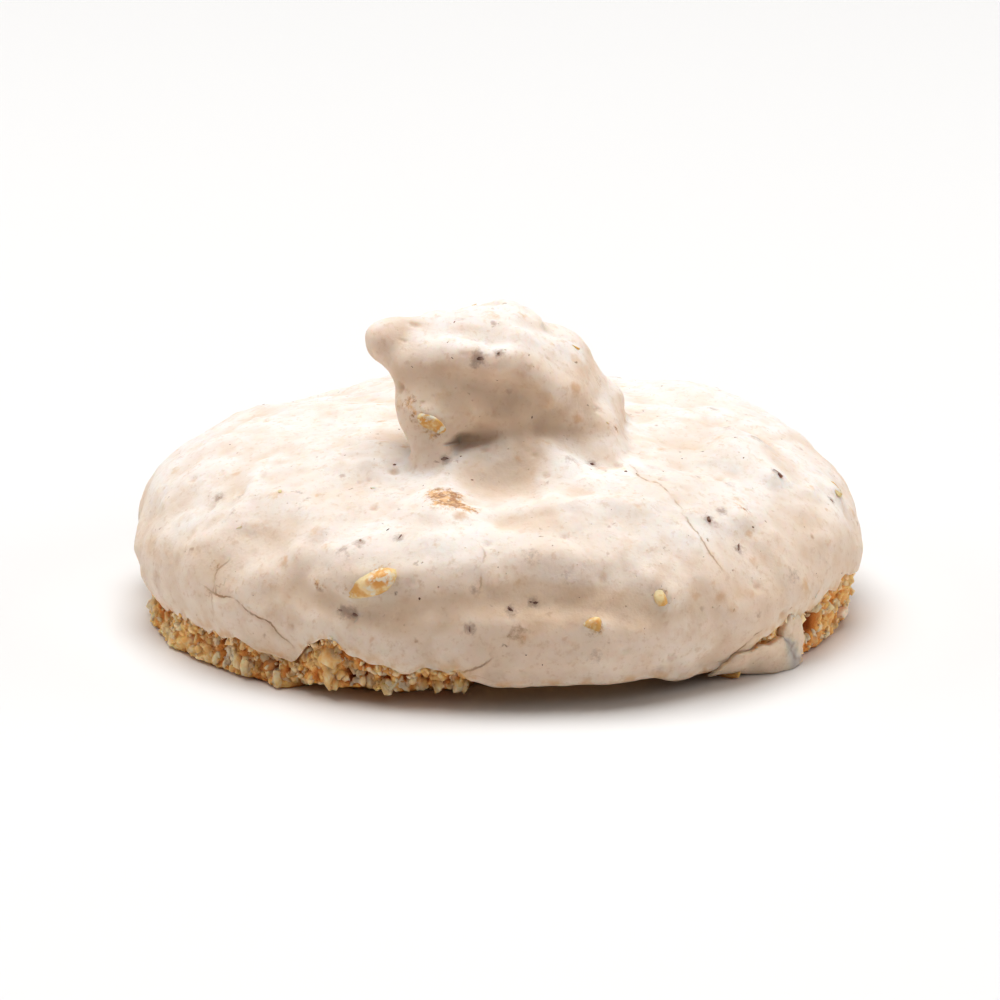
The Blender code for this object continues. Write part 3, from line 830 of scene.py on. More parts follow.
def grains(points, cell, seed):
    """Rounded grains with creases between: 1 at a seed, falling with distance."""
    gap, tag = nearest_seed(points, cell, seed)
    return (0.6 + 0.4 * tag) - (gap / cell) ** 2 * 1.6


crumb = sum(size * grains(bent_wall, cell, seed) for size, cell, seed in CRUMB_GRAINS)
crumb = crumb + 0.30 * lattice_noise(wall, 3.6, 10)
holes = bubble_pits(bent_wall, FOOT_BUBBLES)
foot_relief = (crumb - MEAN_CRUMB + holes) * (0.25 + 0.75 * foot_torn)
for middle, height, reach, deep in FOOT_HOLLOWS:
    turned = (np.degrees(foot_angle) - middle + 180.0) % 360.0 - 180.0
    along_wall = turned * math.radians(WIDTH / 2) + 0.4 * lattice_noise(wall, 1.3, 15)
    foot_relief -= deep * smooth_step(1.0, 0.4, np.hypot(along_wall, foot_height - height) / reach)
foot_relief = foot_relief * smooth_step(0.0, 0.10, wall_share)
foot_relief = foot_relief - 0.5 * smooth_step(0.93, 1.0, wall_share)
ragged_height = foot_height + 0.35 * lattice_noise(wall * np.array([1.0, 1.0, 0.0]), 1.6, 16)
foot_undercut = raised(0.0, foot_angle, UNDERCUT)
foot_undercut = foot_undercut * smooth_step(UNDERCUT_HEIGHT, UNDERCUT_HEIGHT - 0.5, ragged_height)
foot_skin = around_axis(foot_radius + foot_relief - foot_undercut, foot_height, foot_angle)
print("foot's relief from", foot_relief.min().round(2), "to", foot_relief.max().round(2), "mm")

# %% Close the foot
FOOT_CLOSING_HEIGHT = 1.35
FOOT_RIM_HEIGHT = 0.12
FOOT_RIM_WIDTH = 2.2
EVEN_HOLLOW_SHADE = 0.3
inner_top = around_axis(under_edge - 2.0, foot_top * 0.9, foot_angle)[None]
bottom_radius = ground_radius - raised(0.0, foot_angle, UNDERCUT)
inner_bottom = around_axis(bottom_radius - FOOT_RIM_WIDTH, FOOT_RIM_HEIGHT, foot_angle)[None]
inner_step = around_axis(bottom_radius - FOOT_RIM_WIDTH - 0.4, FOOT_CLOSING_HEIGHT, foot_angle)[None]
middle_top = around_axis(0.0, 3.0, foot_angle)[None]
middle_bottom = around_axis(0.0, FOOT_CLOSING_HEIGHT, foot_angle)[None]
foot_grid = np.concatenate([middle_top, inner_top, foot_skin, inner_bottom, inner_step, middle_bottom])
even = np.full((1, FOOT_COLUMNS), EVEN_HOLLOW_SHADE)
# The depth of the hollows, stored for the foot's material, which paints shade in the hollows and light
# on the knobs.
foot_hollow_shade = np.concatenate([even, even, -foot_relief, even, even, even])
foot = make_shells("crumbly_foot", foot_grid[None], (("hollow_shade", foot_hollow_shade[None]),))

# %% [markdown]
# ## The underside
# The cookie dried on baking paper, so its underside is flat and smooth, pale tan, with the round
# mouths of bubbles that met the paper. A thin disc is enough: its rings lie on the table, and
# pits rise into it.

# %% The underside
SOLE_INSET = 1.0
SOLE_GAP = 0.8
SOLE_THICKNESS = 1.5
DEEPEST_MOUTH = 1.2
SOLE_BUBBLES = ((3.4, 8, 0.45, 0.9, 0.8), (1.5, 9, 0.35, 0.4, 0.4))
SOLE_RINGS = int(96 * DETAIL)
SOLE_COLUMNS = int(420 * DETAIL)
sole_angle = np.linspace(0.0, 2 * math.pi, SOLE_COLUMNS, endpoint=False)
sole_rim = radius_on_table(sole_angle, SOLE_INSET) - raised(0.0, sole_angle, UNDERCUT) - SOLE_GAP
sole_share = np.linspace(0.0, 1.0, SOLE_RINGS)[:, None]
sole_flat = around_axis(sole_share * sole_rim, 0.0, sole_angle)
mouths = bubble_pits(sole_flat, SOLE_BUBBLES)
paper_waves = 0.05 * (1.0 + lattice_noise(sole_flat * np.array([1.0, 0.35, 1.0]), 3.0, 11))
rim_lift = 0.35 * smooth_step(0.97, 1.0, sole_share)
sole_rise = np.clip(paper_waves - mouths + rim_lift, 0.0, DEEPEST_MOUTH)
sole_below = sole_flat + np.array([0.0, 0.0, 1.0]) * sole_rise[..., None]
sole_above = around_axis(sole_share[::-8] * (sole_rim - 0.4), SOLE_THICKNESS, sole_angle)
sole = make_shells(
    "flat_underside",
    np.concatenate([sole_below, sole_above])[None],
    (("mouth", np.concatenate([-mouths, np.zeros(sole_above.shape[:2])])[None]),),
)

# %% [markdown]
# ## Flakes of crust on the foot
# Where the crust tore at the right, pieces of it stayed on the foot: a flap that still hugs the
# table, an upright piece beside it, and a few small islands. Each is a small curved plate with a
# ragged outline. It has a middle and a half width in degrees round the cookie, a lean, a lowest
# and a highest height, and how far it stands proud of the wall.

# %% Flakes of crust
FLAKES = (
    (317.2, 8.4, 0.4, -0.5, 3.8, 0.45), (323.6, 2.7, 0, -0.2, 5.8, 0.4),
    (345.5, 1.8, 0, 1.2, 2.3, 0.05), (242.5, 1.5, 0, 3.4, 4.8, 0), (213, 1.2, 0, 0.4, 1.4, 0),
    (60, 5, 0.4, -0.2, 2.6, 0.15), (95, 2.8, 0, 0.6, 3, 0.1), (140, 4, -0.5, -0.2, 2.4, 0.15),
)
FLAKE_RINGS = 34
FLAKE_COLUMNS = 64
FLAKE_THICKNESS = 1.2
UPRIGHT_RIGHT = (309.0, 323.0)
UPRIGHT_BACK = (185.0, 175.0)


def flake_shell(middle, half_width, lean, low, high, proud, seed):
    """A curved, puffy plate on the foot's wall, from low to high, one end of it lower than the
    other by its lean. Seen from outside it is a wobbling disc: the second parameter goes round
    its outline and the first from the middle of the front face over the rim to the middle of
    the back face."""
    turn = np.linspace(0.0, 2 * math.pi, FLAKE_COLUMNS, endpoint=False)
    over = np.linspace(0.0, 1.0, FLAKE_RINGS)[:, None]
    circle = np.stack([np.cos(turn), np.sin(turn), 0.0 * turn + seed], axis=-1)
    outline = 1.0 + 0.28 * lattice_noise(circle * 2.0, 1.3, 80 + seed)
    outline = outline + 0.12 * lattice_noise(circle * 5.0, 1.0, 90)
    out = np.minimum(over, 1.0 - over) * 2.0
    square = (np.abs(np.cos(turn)) ** 3 + np.abs(np.sin(turn)) ** 3) ** (-1.0 / 3.0)
    reach = np.sin(out * math.pi / 2) * outline * square
    angle = np.radians(middle + half_width * reach * np.cos(turn))
    height = (low + high) / 2 + (high - low) / 2 * np.clip(reach * np.sin(turn), -1.0, 1.3)
    height = np.maximum(height + lean * reach * np.cos(turn), 0.05)
    degrees = np.degrees(angle)
    at_right, at_back = smooth_step(*UPRIGHT_RIGHT, degrees), smooth_step(*UPRIGHT_BACK, degrees)
    upright = np.maximum(at_right, at_back)
    tucked = side_radius(height, angle)
    wall_radius = tucked + (outline_radius(angle) - 1.0 - tucked) * upright
    face = np.where(over < 0.5, 1.0, -1.0) * (1.0 - out**3) ** 0.5
    plate = around_axis(wall_radius, height, angle)
    lumps = 0.26 * lattice_noise(plate, 1.8, 12) + 0.10 * lattice_noise(plate, 0.7, 13)
    radius = wall_radius + proud - 0.35 + face * FLAKE_THICKNESS / 2 + lumps
    return around_axis(radius, height, angle)


flake_grids = np.stack([flake_shell(*flake, seed) for seed, flake in enumerate(FLAKES)])
flakes = make_shells("crust_flakes", flake_grids)

# %% [markdown]
# ## Nut chips and skins
# A chopped nut is a chip with flat sides and rounded edges. It is the space inside a few random
# planes: along each direction the surface lies where the first plane is met, and a high power
# instead of a plain minimum rounds the edges. Skins are thin dark shreds, the same function
# squeezed flat.

# %% Chips as shells
def chip_shells(count, planes, sharpness, rings, columns):
    """Unit chips: along each direction of a sphere grid, the distance at which the direction
    leaves the space inside random planes, blended by a high power."""
    polar = np.linspace(0.0, math.pi, rings)[:, None]
    turn = np.linspace(0.0, 2 * math.pi, columns, endpoint=False)
    ball = around_axis(np.sin(polar), np.cos(polar), turn)
    normal = lot.normal(size=(count, planes, 3))
    normal /= np.linalg.norm(normal, axis=-1, keepdims=True)
    normal = np.concatenate([normal, -normal], axis=1)
    distance = lot.uniform(0.55, 1.0, size=(count, 2 * planes))
    facing = np.einsum("rci,npi->nrcp", ball, normal) / distance[:, None, None, :]
    radius = (np.maximum(facing, 0.0) ** sharpness).sum(axis=-1) ** (-1.0 / sharpness)
    return ball * np.minimum(radius, 1.6)[..., None]


def scattered(shells, sizes, spots):
    """Unit chips at their spots, each as large as its sizes say."""
    return shells * (sizes / 2.0)[:, None, None, :] + spots[:, None, None, :]


def laid_on_crust(shells, row, column, sizes, sink, along):
    """Turns each unit chip so that its length follows its own direction along the skin, gives
    it its length, width and thickness, and sinks it into the crust by its own sink."""
    normal = crust_normal[row, column]
    first = along - np.einsum("ni,ni->n", along, normal)[:, None] * normal
    first /= np.linalg.norm(first, axis=-1, keepdims=True)
    second = np.cross(normal, first)
    axes = np.stack([first, second, normal], axis=1)
    scaled = shells * (sizes / 2.0)[:, None, None, :]
    placed = np.einsum("nrci,nij->nrcj", scaled, axes)
    centre = crust_skin[row, column] - normal * sink[:, None]
    return placed + centre[:, None, None, :]


# %% The nuts that show
nut_count = len(nut_length)
nut_depth = 0.6 * nut_width
nut_sizes = np.stack([nut_length, nut_width, nut_depth], axis=-1)
sunk = np.concatenate([np.full(len(NAMED_NUTS), 0.34), lot.uniform(0.26, 0.44, SHOWING_NUTS)])
nut_sink = nut_depth * sunk
nut_along = np.concatenate([[nut[3] for nut in NAMED_NUTS], lot.normal(size=(SHOWING_NUTS, 3))])
nut_chips = chip_shells(nut_count, 5, 6.0, 14, 20)
nuts = make_shells(
    "chopped_nuts",
    laid_on_crust(nut_chips, nut_row, nut_column, nut_sizes, nut_sink, nut_along),
)

# %% Dark skins of nuts
SKIN_COUNT = 110
SHRED_THICKNESS = 0.22
SHRED_SINK = 0.09
more_row, more_column = drawn_places(SKIN_COUNT, not_at_edge)
skin_row, skin_column = np.concatenate([skin_row, more_row]), np.concatenate([skin_column, more_column])
large, small = lot.uniform(0.7, 1.2, len(NAMED_SKINS)), lot.uniform(0.2, 0.55, SKIN_COUNT)
shred_length = np.concatenate([large, small])
shreds = shred_length.size
shred_width = shred_length * lot.uniform(0.35, 0.7, shreds)
shred_sizes = np.stack([shred_length, shred_width, np.full(shreds, SHRED_THICKNESS)], axis=-1)
shred_chips = chip_shells(shreds, 4, 6.0, 6, 8)
shred_sink, shred_along = np.full(shreds, SHRED_SINK), lot.normal(size=(shreds, 3))
skins = make_shells(
    "nut_skins",
    laid_on_crust(shred_chips, skin_row, skin_column, shred_sizes, shred_sink, shred_along),
)

# %% [markdown]
# ## Crumbs of the foot
# The foot isn't one smooth sponge: grains of dried batter and nut stick out of it everywhere, and
# a few pale lumps are two millimetres thick. They are the same chips, laid on the foot's wall:
# grains drawn by lot, and large lumps, each with its angle in degrees, its height and its size.

# %% Grains on the foot
FOOT_LUMPS = (
    (222.5, 1.3, 2), (225, 1, 1.7), (235.6, 1.4, 2.5), (236.3, 3.5, 2.1), (242.4, 4.7, 2.4),
    (241.6, 2.3, 2.3), (244.3, 4, 1.5), (246.6, 2.2, 1.3), (249.6, 2.2, 1.2), (252.5, 2.2, 1.2),
    (255.8, 2.2, 1.2), (259.8, 2.4, 1.4), (210, 1.6, 1.4), (200, 2, 1.5), (334.5, 2.2, 1.6),
    (337, 4.6, 1.4), (342, 3, 1.7), (326.8, 4.8, 1.5), (30, 2, 1.8), (48, 3.2, 2), (66, 2, 1.7),
    (82, 3.5, 1.9), (101, 2.2, 2.2), (128, 3.4, 1.8),
)
FOOT_GRAINS = 1500
low_wall = (foot_height > 0.5) * (wall_share > 0.2) * (foot_undercut < 0.3)
weight = (foot_torn * low_wall).ravel()
chosen = lot.choice(weight.size, size=FOOT_GRAINS, p=weight / weight.sum(), replace=False)
grain_row, grain_column = np.unravel_index(chosen, foot_relief.shape)
lumps = np.array(FOOT_LUMPS)
lump_column = np.abs(np.degrees(foot_angle)[None] % 360.0 - lumps[:, :1]).argmin(axis=1)
lump_row = np.abs(foot_height[:, lump_column] - lumps[:, 1]).argmin(axis=0)
coarse = lot.uniform(0.0, 1.0, (FOOT_GRAINS, 1)) ** 2
grain_size = 0.40 + 0.95 * coarse * lot.uniform(0.8, 1.1, (FOOT_GRAINS, 3))
grain_size = np.concatenate([grain_size, lumps[:, 2:] * lot.uniform(0.75, 1.1, (len(lumps), 3))])
grain_row = np.concatenate([grain_row, lump_row])
grain_column = np.concatenate([grain_column, lump_column])
inwards = 1.0 - 0.006 * grain_size.mean(axis=1, keepdims=True)
grain_spot = foot_skin[grain_row, grain_column] * np.concatenate([inwards, inwards, inwards**0], axis=1)
grain_spot[:, 2] = np.maximum(grain_spot[:, 2], 0.30 + 0.55 * grain_size.max(axis=1))
grain_chips = chip_shells(len(grain_size), 4, 7.0, 6, 8)
foot_grains = make_shells("foot_grains", scattered(grain_chips, grain_size, grain_spot))

# %% [markdown]
# ## Crumbs along the torn edge
# A brittle crust doesn't tear cleanly. Small crumbs of it hang along the torn edge, which breaks up
# the edge's line. They are chips too, golden like the grains of the foot.

# %% Crumbs along the edge
EDGE_CRUMBS = 160
weight = torn_share(crust_angle) ** 2
crumb_column = lot.choice(weight.size, size=EDGE_CRUMBS, p=weight / weight.sum())
coarse = lot.uniform(0.0, 1.0, (EDGE_CRUMBS, 1)) ** 2
crumb_size = 0.28 + 0.60 * coarse * lot.uniform(0.7, 1.2, (EDGE_CRUMBS, 3))
crumb_spot = crust_skin[-1, crumb_column] * (1.0 - 0.012 * lot.uniform(0.2, 1.6, (EDGE_CRUMBS, 1)))
crumb_spot[:, 2] += lot.uniform(-0.75, 0.15, EDGE_CRUMBS)
crumb_chips = chip_shells(EDGE_CRUMBS, 4, 7.0, 6, 8)
edge_crumbs = make_shells("edge_crumbs", scattered(crumb_chips, crumb_size, crumb_spot))

# %% [markdown]
# ## Shader maths in plain Python
# A material's pattern is arithmetic on numbers that vary over the surface. Writing it as Python
# expressions keeps it readable: a small class wraps a socket, and each operator adds the Math node
# that does the same.

# %% Sockets that can be added and multiplied
def linear(red, green, blue):
    """A colour from 0 to 255, as seen on a screen, as the linear light that a shader needs."""
    share = np.array([red, green, blue]) / 255.0
    light = np.where(share > 0.04045, ((share + 0.055) / 1.055) ** 2.4, share / 12.92)
    return (*light.tolist(), 1.0)


class Value:
    """A node's output that Python's operators work on."""

    def __init__(self, paint, socket):
        self.paint, self.socket = paint, socket

    def maths(self, operation, *others):
        """A Math node that works on this value and then on the others."""
        return self.paint.add("Math", {"operation": operation}, dict(enumerate((self, *others))))

    def maths_after(self, operation, number):
        """The same with the number first, as in 1 - mask."""
        return self.paint.add("Math", {"operation": operation}, {0: number, 1: self})

    def __add__(self, other):
        return self.maths("ADD", other)

    def __sub__(self, other):
        return self.maths("SUBTRACT", other)

    def __rsub__(self, other):
        return self.maths_after("SUBTRACT", other)

    def __mul__(self, other):
        return self.maths("MULTIPLY", other)

    def __truediv__(self, other):
        return self.maths("DIVIDE", other)

    def __rtruediv__(self, other):
        return self.maths_after("DIVIDE", other)

    __radd__, __rmul__ = __add__, __mul__

    def above(self, limit):
        """1 where the value is above the limit, else 0."""
        return self.maths("GREATER_THAN", limit)

    def size(self):
        """The value without its sign."""
        return self.maths("ABSOLUTE")

    def eased(self, low, high):
        """0 at low, 1 at high, eased between. Low may be above high."""
        settings = {"interpolation_type": "SMOOTHSTEP", "clamp": True}
        return self.paint.add("MapRange", settings, {"Value": self, "From Min": low, "From Max": high})


class Paint:
    """One material under construction: it adds nodes and links them."""

    def __init__(self, name):
        self.material = bpy.data.materials.new(name)
        self.material.use_nodes = True
        self.tree = self.material.node_tree
        self.shader = self.tree.nodes["Principled BSDF"]
        place = self.add("TexCoord", {}, {}, "Object")
        self.place = self.add("VectorMath", {"operation": "SCALE"}, {0: place, "Scale": 1.0 / MM})

    def add(self, kind, settings, sockets, output=0):
        """Adds a node: its settings first, then its sockets' values or links."""
        node = self.tree.nodes.new("ShaderNode" + kind)
        for name, setting in settings.items():
            setattr(node, name, setting)
        for name, value in sockets.items():
            if isinstance(value, Value):
                self.tree.links.new(value.socket, node.inputs[name])
            else:
                node.inputs[name].default_value = value
        return Value(self, node.outputs[output])

    def noise(self, cell, detail=2.0, roughness=0.5):
        """Smooth noise from 0 to 1 with lumps about one cell, in millimetres, across."""
        sockets = {"Vector": self.place, "Scale": 1.0 / cell, "Detail": detail, "Roughness": roughness}
        return self.add("TexNoise", {}, sockets, "Fac")

    def spots(self, cell, at):
        """Distance in millimetres to scattered spots, one to a cell, and two random values from
        0 to 1 of each spot's own."""
        gap = self.add("TexVoronoi", {}, {"Vector": at, "Scale": 1.0 / cell}, "Distance")
        tags = Value(self, gap.socket.node.outputs["Color"])
        red = self.add("SeparateColor", {}, {"Color": tags}, "Red")
        return gap * cell, red, Value(self, red.socket.node.outputs["Green"])

    def stored(self, name):
        """A value stored at the mesh's points."""
        return self.add("Attribute", {"attribute_name": name}, {}, "Fac")

    def mix(self, share, first, second, blend="MIX"):
        """One colour into another."""
        colours = {0: share, 6: first, 7: second}
        return self.add("Mix", {"data_type": "RGBA", "blend_type": blend}, colours, 2)

    def layered(self, colour, *layers):
        """A colour with others laid over it one by one, each by its own share."""
        for share, seen in layers:
            colour = self.mix(share, colour, linear(*seen))
        return colour

    def finish(self, colour, roughness, height, constants):
        """Links colour, roughness and a height in millimetres to the shader, and sets what is
        the same all over."""
        bump = self.add("Bump", {}, {"Strength": 1.0, "Distance": MM, "Height": height})
        for name, value in (("Base Color", colour), ("Roughness", roughness), ("Normal", bump)):
            self.tree.links.new(value.socket, self.shader.inputs[name])
        for name, value in constants.items():
            self.shader.inputs[name].default_value = value
        return self.material


# %% [markdown]
# ## The baked crust
# The real crust is matt, between cream and white, and nowhere even: warm blotches where it
# browned, soft grey, tan and golden stains over buried nuts and skins, tiny brown specks,
# pin-holes, and thin brown lines along the cracks. Its steep sides, its front and the dents of its
# relief are painted darker and warmer than its top, as painted shade. Light enters it and comes out
# again a little further on, so its shadows are warm. Each of these is one mask or one height below.

# %% The crust's material
CRUST_LOOK = {
    "Specular IOR Level": 0.3,
    "Subsurface Weight": 0.5,
    "Subsurface Radius": (1.0, 0.55, 0.32),
    "Subsurface Scale": 1.8 * MM,
}


def stain(paint, cell, share, low, high, at):
    """Soft patches at a share of scattered spots, of their own sizes."""
    gap, tag, other = paint.spots(cell, at)
    radius = low + (high - low) * other
    return (gap / radius).eased(1.0, 0.2) * tag.above(1.0 - share)


def baked_crust(name, has_cracks):
    """Cream crust with stains, specks, pin-holes and painted shade, and, where the mesh stores them,
    cracks.
    """
    paint = Paint(name)
    wobble = paint.add("TexNoise", {}, {"Vector": paint.place, "Scale": 1.3, "Detail": 3.0}, "Color")
    moved = {0: wobble, 1: (1.3, 1.3, 1.3), 2: paint.place}
    at = paint.add("VectorMath", {"operation": "MULTIPLY_ADD"}, moved)
    broad = paint.noise(11.0)
    fine = paint.noise(2.2, 3.0, 0.6)
    mottle = paint.noise(0.7, 3.0, 0.65)
    specks = stain(paint, 1.2, 0.14, 0.10, 0.26, at)
    pores = stain(paint, 0.85, 0.30, 0.05, 0.13, paint.place)
    colour = paint.layered(
        linear(237, 231, 226),
        (broad.eased(0.35, 0.68), (231, 221, 212)),
        (fine.eased(0.45, 0.75) * 0.5, (221, 203, 186)),
        (mottle.eased(0.52, 0.72) * 0.4, (206, 182, 159)),
        (stain(paint, 4.2, 0.22, 0.9, 2.2, at) * (0.10 + 0.40 * mottle), (192, 172, 160)),
        (stain(paint, 2.9, 0.24, 0.4, 1.1, at) * 0.55, (208, 170, 130)),
        (stain(paint, 1.9, 0.13, 0.2, 0.55, at) * 0.5, (158, 124, 102)),
        (specks * 0.7, (126, 90, 64)),
        (pores * 0.4, (186, 148, 116)),
    )
    height = (fine - 0.5) * 0.08 + (paint.noise(0.4, 2.0, 0.6) - 0.5) * 0.025 + (mottle - 0.5) * 0.05
    height = height - pores * 0.12 - specks * 0.03
    if has_cracks:
        # Painted shade: the steep sides and the front are made darker and warmer.
        painted_shade_tint = paint.stored("shade_side").eased(0.15, 0.80)
        colour = paint.mix(painted_shade_tint * 0.85, colour, (0.98, 0.85, 0.73, 1.0), "MULTIPLY")
        # Painted shade: where the relief is dented, the crust is made darker and warmer.
        hollow_shade = paint.stored("relief").eased(0.0, -0.45)
        ragged = paint.noise(0.6, 4.0, 0.7) - 0.5
        tan = (paint.stored("tan_stain") + ragged * 2.2).eased(0.30, 1.25)
        gold = (paint.stored("gold_stain") + ragged * 2.6).eased(0.35, 1.05)
        grey = (paint.stored("grey_stain") + ragged * 1.8).eased(0.30, 1.15)
        gap = (paint.stored("crack_gap") + (paint.noise(0.5) - 0.5) * 0.35).size()
        opening = paint.stored("crack_opening") * paint.noise(1.5).eased(0.30, 0.50)
        line = gap.eased(0.17, 0.03) * opening
        halo = gap.eased(0.6, 0.05) * opening
        toast = paint.stored("edge_nearness") * paint.noise(1.6, 3.0).eased(0.40, 0.66)
        toasted = paint.mix(mottle.eased(0.42, 0.60), linear(220, 178, 128), linear(166, 116, 72))
        colour = paint.layered(colour, (hollow_shade * 0.5, (214, 184, 154)), (tan * 0.5, (214, 176, 134)))
        colour = paint.layered(
            paint.mix(gold * 0.9, colour, toasted),
            (grey * 0.6, (148, 120, 106)),
            (halo * 0.20, (222, 190, 150)),
            (line * 0.7, (160, 120, 84)),
            (toast * 0.6, (214, 168, 116)),
        )
        height = height - line * 0.10
    else:
        # Painted shade: the flakes stand steep under the crust's edge, and all their colour is made
        # darker and warmer, like the crust's steep sides.
        colour = paint.mix(0.9, colour, (1.0, 0.84, 0.70, 1.0), "MULTIPLY")
    return paint.finish(colour, 0.62 + 0.25 * fine, height, CRUST_LOOK)


crust.data.materials.append(baked_crust("cream_crust", True))
flakes.data.materials.append(baked_crust("torn_crust", False))

# %% [markdown]
# ## The golden foot
# The torn inside caught more heat than the crust, so it is golden. Its knobs are painted pale tan
# and its holes brown, as painted light and shade, between golden walls, so colour follows the
# stored height of the sponge, with noise to break it up.

# %% The foot's material
def golden_crumb():
    """Golden sponge: pale knobs and brown hollows as painted light and shade, and a rough grain."""
    paint = Paint("golden_crumb")
    patches = paint.noise(3.4, 3.0, 0.6)
    fine = paint.noise(0.5, 3.0, 0.7)
    # Painted light and shade: the sponge is golden of itself, and its knobs are made paler and its
    # holes darker brown by their stored depth.
    hollow_shade = paint.stored("hollow_shade") + (fine - 0.5) * 0.5 + (patches - 0.5) * 0.7
    colour = paint.layered(
        linear(253, 230, 194),
        (hollow_shade.eased(-0.70, -0.15), (248, 200, 134)),
        (hollow_shade.eased(-0.15, 0.40), (232, 160, 88)),
        (hollow_shade.eased(0.40, 1.0), (178, 104, 50)),
        (hollow_shade.eased(1.0, 2.0), (120, 62, 24)),
        (patches.eased(0.56, 0.72) * 0.5, (240, 208, 166)),
    )
    height = (fine - 0.5) * 0.22 + (paint.noise(0.2) - 0.5) * 0.08
    constants = {**CRUST_LOOK, "Subsurface Scale": 1.0 * MM}
    return paint.finish(colour, 0.7 + 0.2 * fine, height, constants)


foot.data.materials.append(golden_crumb())

# %% [markdown]
# ## Nuts, skins, grains and the underside
# Small things need little: a main colour, a second one that breaks it up, and a fine grain. The
# nuts also have a film of crust over them, and the underside is deeper inside its bubbles.

# %% Small materials
def speckled(name, pale, deep, patch, grain, roughness):
    """A finish of two colours in patches with a fine, bumpy grain."""
    paint = Paint(name)
    patches = paint.noise(patch, 3.0, 0.6)
    fine = paint.noise(grain, 3.0, 0.65)
    colour = paint.layered(linear(*pale), (patches.eased(0.38, 0.64), deep))
    return paint.finish(colour, roughness + 0.15 * (fine - 0.5), (fine - 0.5) * 0.10, CRUST_LOOK)


def toasted_nut():
    """Amber and cream nut, half veiled by a film of crust."""
    paint = Paint("toasted_nut")
    patches = paint.noise(1.6, 3.0, 0.6)
    fine = paint.noise(0.4, 3.0, 0.65)
    veil = (paint.noise(1.1, 3.0, 0.6) + 0.3 * (fine - 0.5)).eased(0.52, 0.66)
    amber = (patches.eased(0.40, 0.62), (224, 166, 96))
    colour = paint.layered(linear(242, 214, 168), amber, (veil, (236, 222, 204)))
    return paint.finish(colour, 0.6 + 0.15 * (fine - 0.5), (fine - 0.5) * 0.06, CRUST_LOOK)


def paper_side():
    """The underside's pale tan, deeper inside the mouths of its bubbles."""
    paint = Paint("paper_side")
    tan = (paint.noise(9.0, 3.0, 0.55).eased(0.35, 0.65), (214, 178, 132))
    fine = paint.noise(0.8, 3.0, 0.6)
    inside = (paint.stored("mouth").eased(0.05, 0.7), (170, 118, 68))
    colour = paint.layered(linear(232, 208, 172), tan, inside)
    return paint.finish(colour, 0.45 + 0.3 * fine, (fine - 0.5) * 0.08, CRUST_LOOK)


skins.data.materials.append(speckled("nut_skin", (164, 130, 114), (102, 68, 58), 0.8, 0.3, 0.7))
dry_grain = speckled("dry_grain", (255, 222, 182), (248, 184, 118), 2.2, 0.4, 0.75)
for piece in (foot_grains, edge_crumbs):
    piece.data.materials.append(dry_grain)
nuts.data.materials.append(toasted_nut())
sole.data.materials.append(paper_side())

# %% [markdown]
# ## Riding on the model
# Every piece rides on the model's one body. The crust, the foot and the underside together stand
# for the solid, which is then not shown.

# %% Tie the pieces to the model
for piece in (crust, foot, sole, flakes, nuts, skins, foot_grains, edge_crumbs):
    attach(piece, "root")
for piece in (crust, foot, sole):
    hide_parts("meringue_cookie")

# %% [markdown]
# ## Floor, light and camera
# The cookie stands on a plain white table under a large, soft light above it, a little behind and
# to the left. That light shows the relief of the crust, and leaves the front in a warm,
# half-bright shade. A weak light before it keeps that shade from going dark, and one at each side
# shows the grain of the foot. The camera looks down a little, as from across a table.

# %% Floor and light
FLOOR_REACH = 3.0
LIT_PLACE = (0.0, 0.0, 0.015)
LIGHTS = (
    ("key", (-0.07, 0.17, 1.2), 1.1, 16.6),
    ("front", (0.35, -0.90, 0.66), 0.9, 1.5),
    ("right", (1.1, 0.1, 0.38), 0.8, 3.4),
    ("left", (-1.1, 0.15, 0.42), 0.8, 2.8),
)


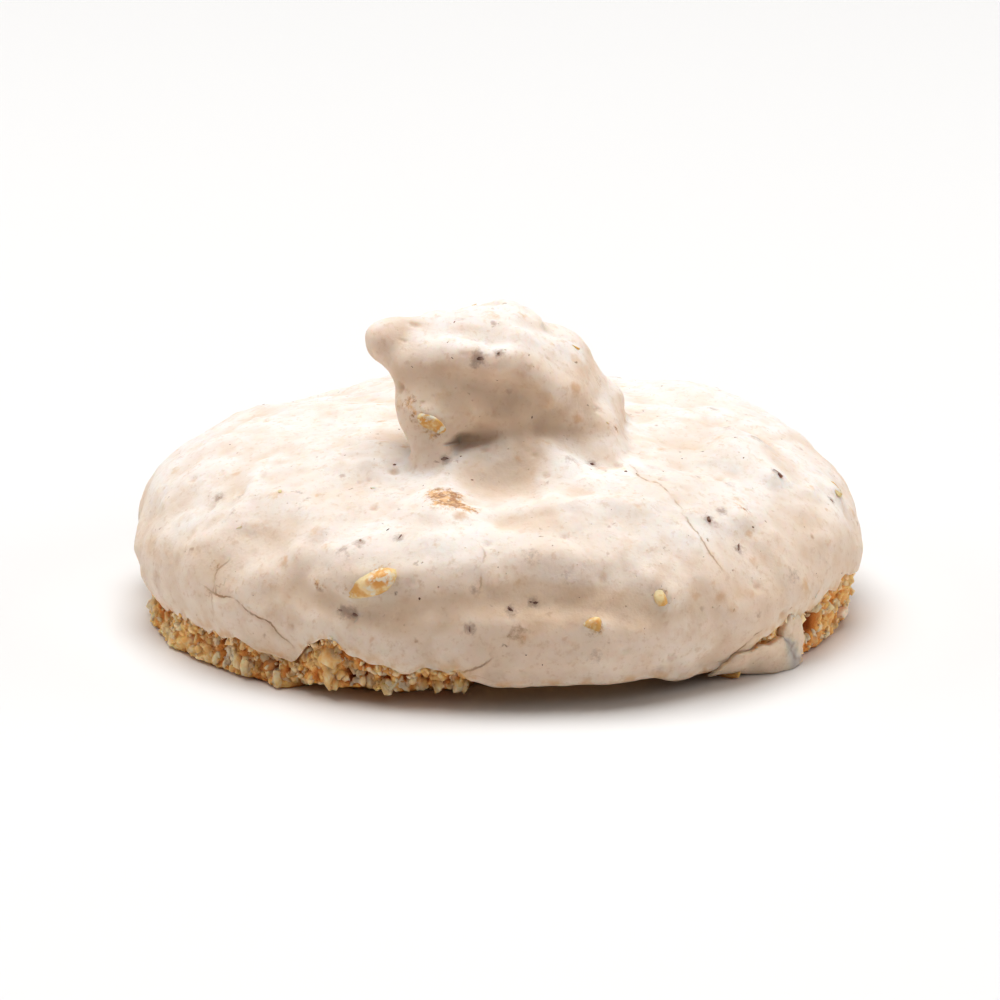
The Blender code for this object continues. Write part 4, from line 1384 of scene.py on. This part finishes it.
def studio_floor():
    """A wide white floor that isn't part of the cookie."""
    mesh = bpy.data.meshes.new("floor")
    turns = ((-1, -1), (1, -1), (1, 1), (-1, 1))
    mesh.from_pydata([(FLOOR_REACH * x, FLOOR_REACH * y, 0.0) for x, y in turns], [], [(0, 1, 2, 3)])
    floor = bpy.data.objects.new("floor", mesh)
    bpy.context.scene.collection.objects.link(floor)
    material = bpy.data.materials.new("white_table")
    material.use_nodes = True
    shader = material.node_tree.nodes["Principled BSDF"]
    shader.inputs["Base Color"].default_value = (0.81, 0.805, 0.80, 1.0)
    shader.inputs["Roughness"].default_value = 0.6
    mesh.materials.append(material)


def soft_light(name, place, size, power):
    """A square area light at a place in metres, turned to the cookie."""
    light = bpy.data.lights.new(name, "AREA")
    light.size = size
    light.energy = power
    lamp = bpy.data.objects.new(name, light)
    lamp.location = place
    lamp.rotation_euler = (Vector(LIT_PLACE) - Vector(place)).to_track_quat("-Z", "Y").to_euler()
    bpy.context.scene.collection.objects.link(lamp)


studio_floor()
for light in LIGHTS:
    soft_light(*light)

world = bpy.data.worlds.new("studio")
world.use_nodes = True
background = world.node_tree.nodes["Background"].inputs
background["Color"].default_value = (1.0, 0.84, 0.68, 1.0)
background["Strength"].default_value = 0.03
bpy.context.scene.world = world
bpy.context.scene.view_settings.view_transform = "Standard"
bpy.context.scene.view_settings.look = "Medium High Contrast"

# %% Camera
CAMERA_DISTANCE = 0.6
CAMERA_ELEVATION = math.radians(17.0)
SENSOR = 36.0
FRAME_WIDTH = 0.1053
AIM_UP = 0.0106
back = Vector((0.0, -math.cos(CAMERA_ELEVATION), math.sin(CAMERA_ELEVATION)))
up = Vector((0.0, math.sin(CAMERA_ELEVATION), math.cos(CAMERA_ELEVATION)))
camera_data = bpy.data.cameras.new("camera")
camera_data.sensor_width = SENSOR
camera_data.lens = SENSOR * CAMERA_DISTANCE / FRAME_WIDTH
camera_data.clip_start = 0.01
camera = bpy.data.objects.new("camera", camera_data)
camera.location = up * AIM_UP + back * CAMERA_DISTANCE
camera.rotation_euler = (-back).to_track_quat("-Z", "Y").to_euler()
bpy.context.scene.collection.objects.link(camera)
bpy.context.scene.camera = camera
print("lens", round(camera_data.lens, 1), "mm")
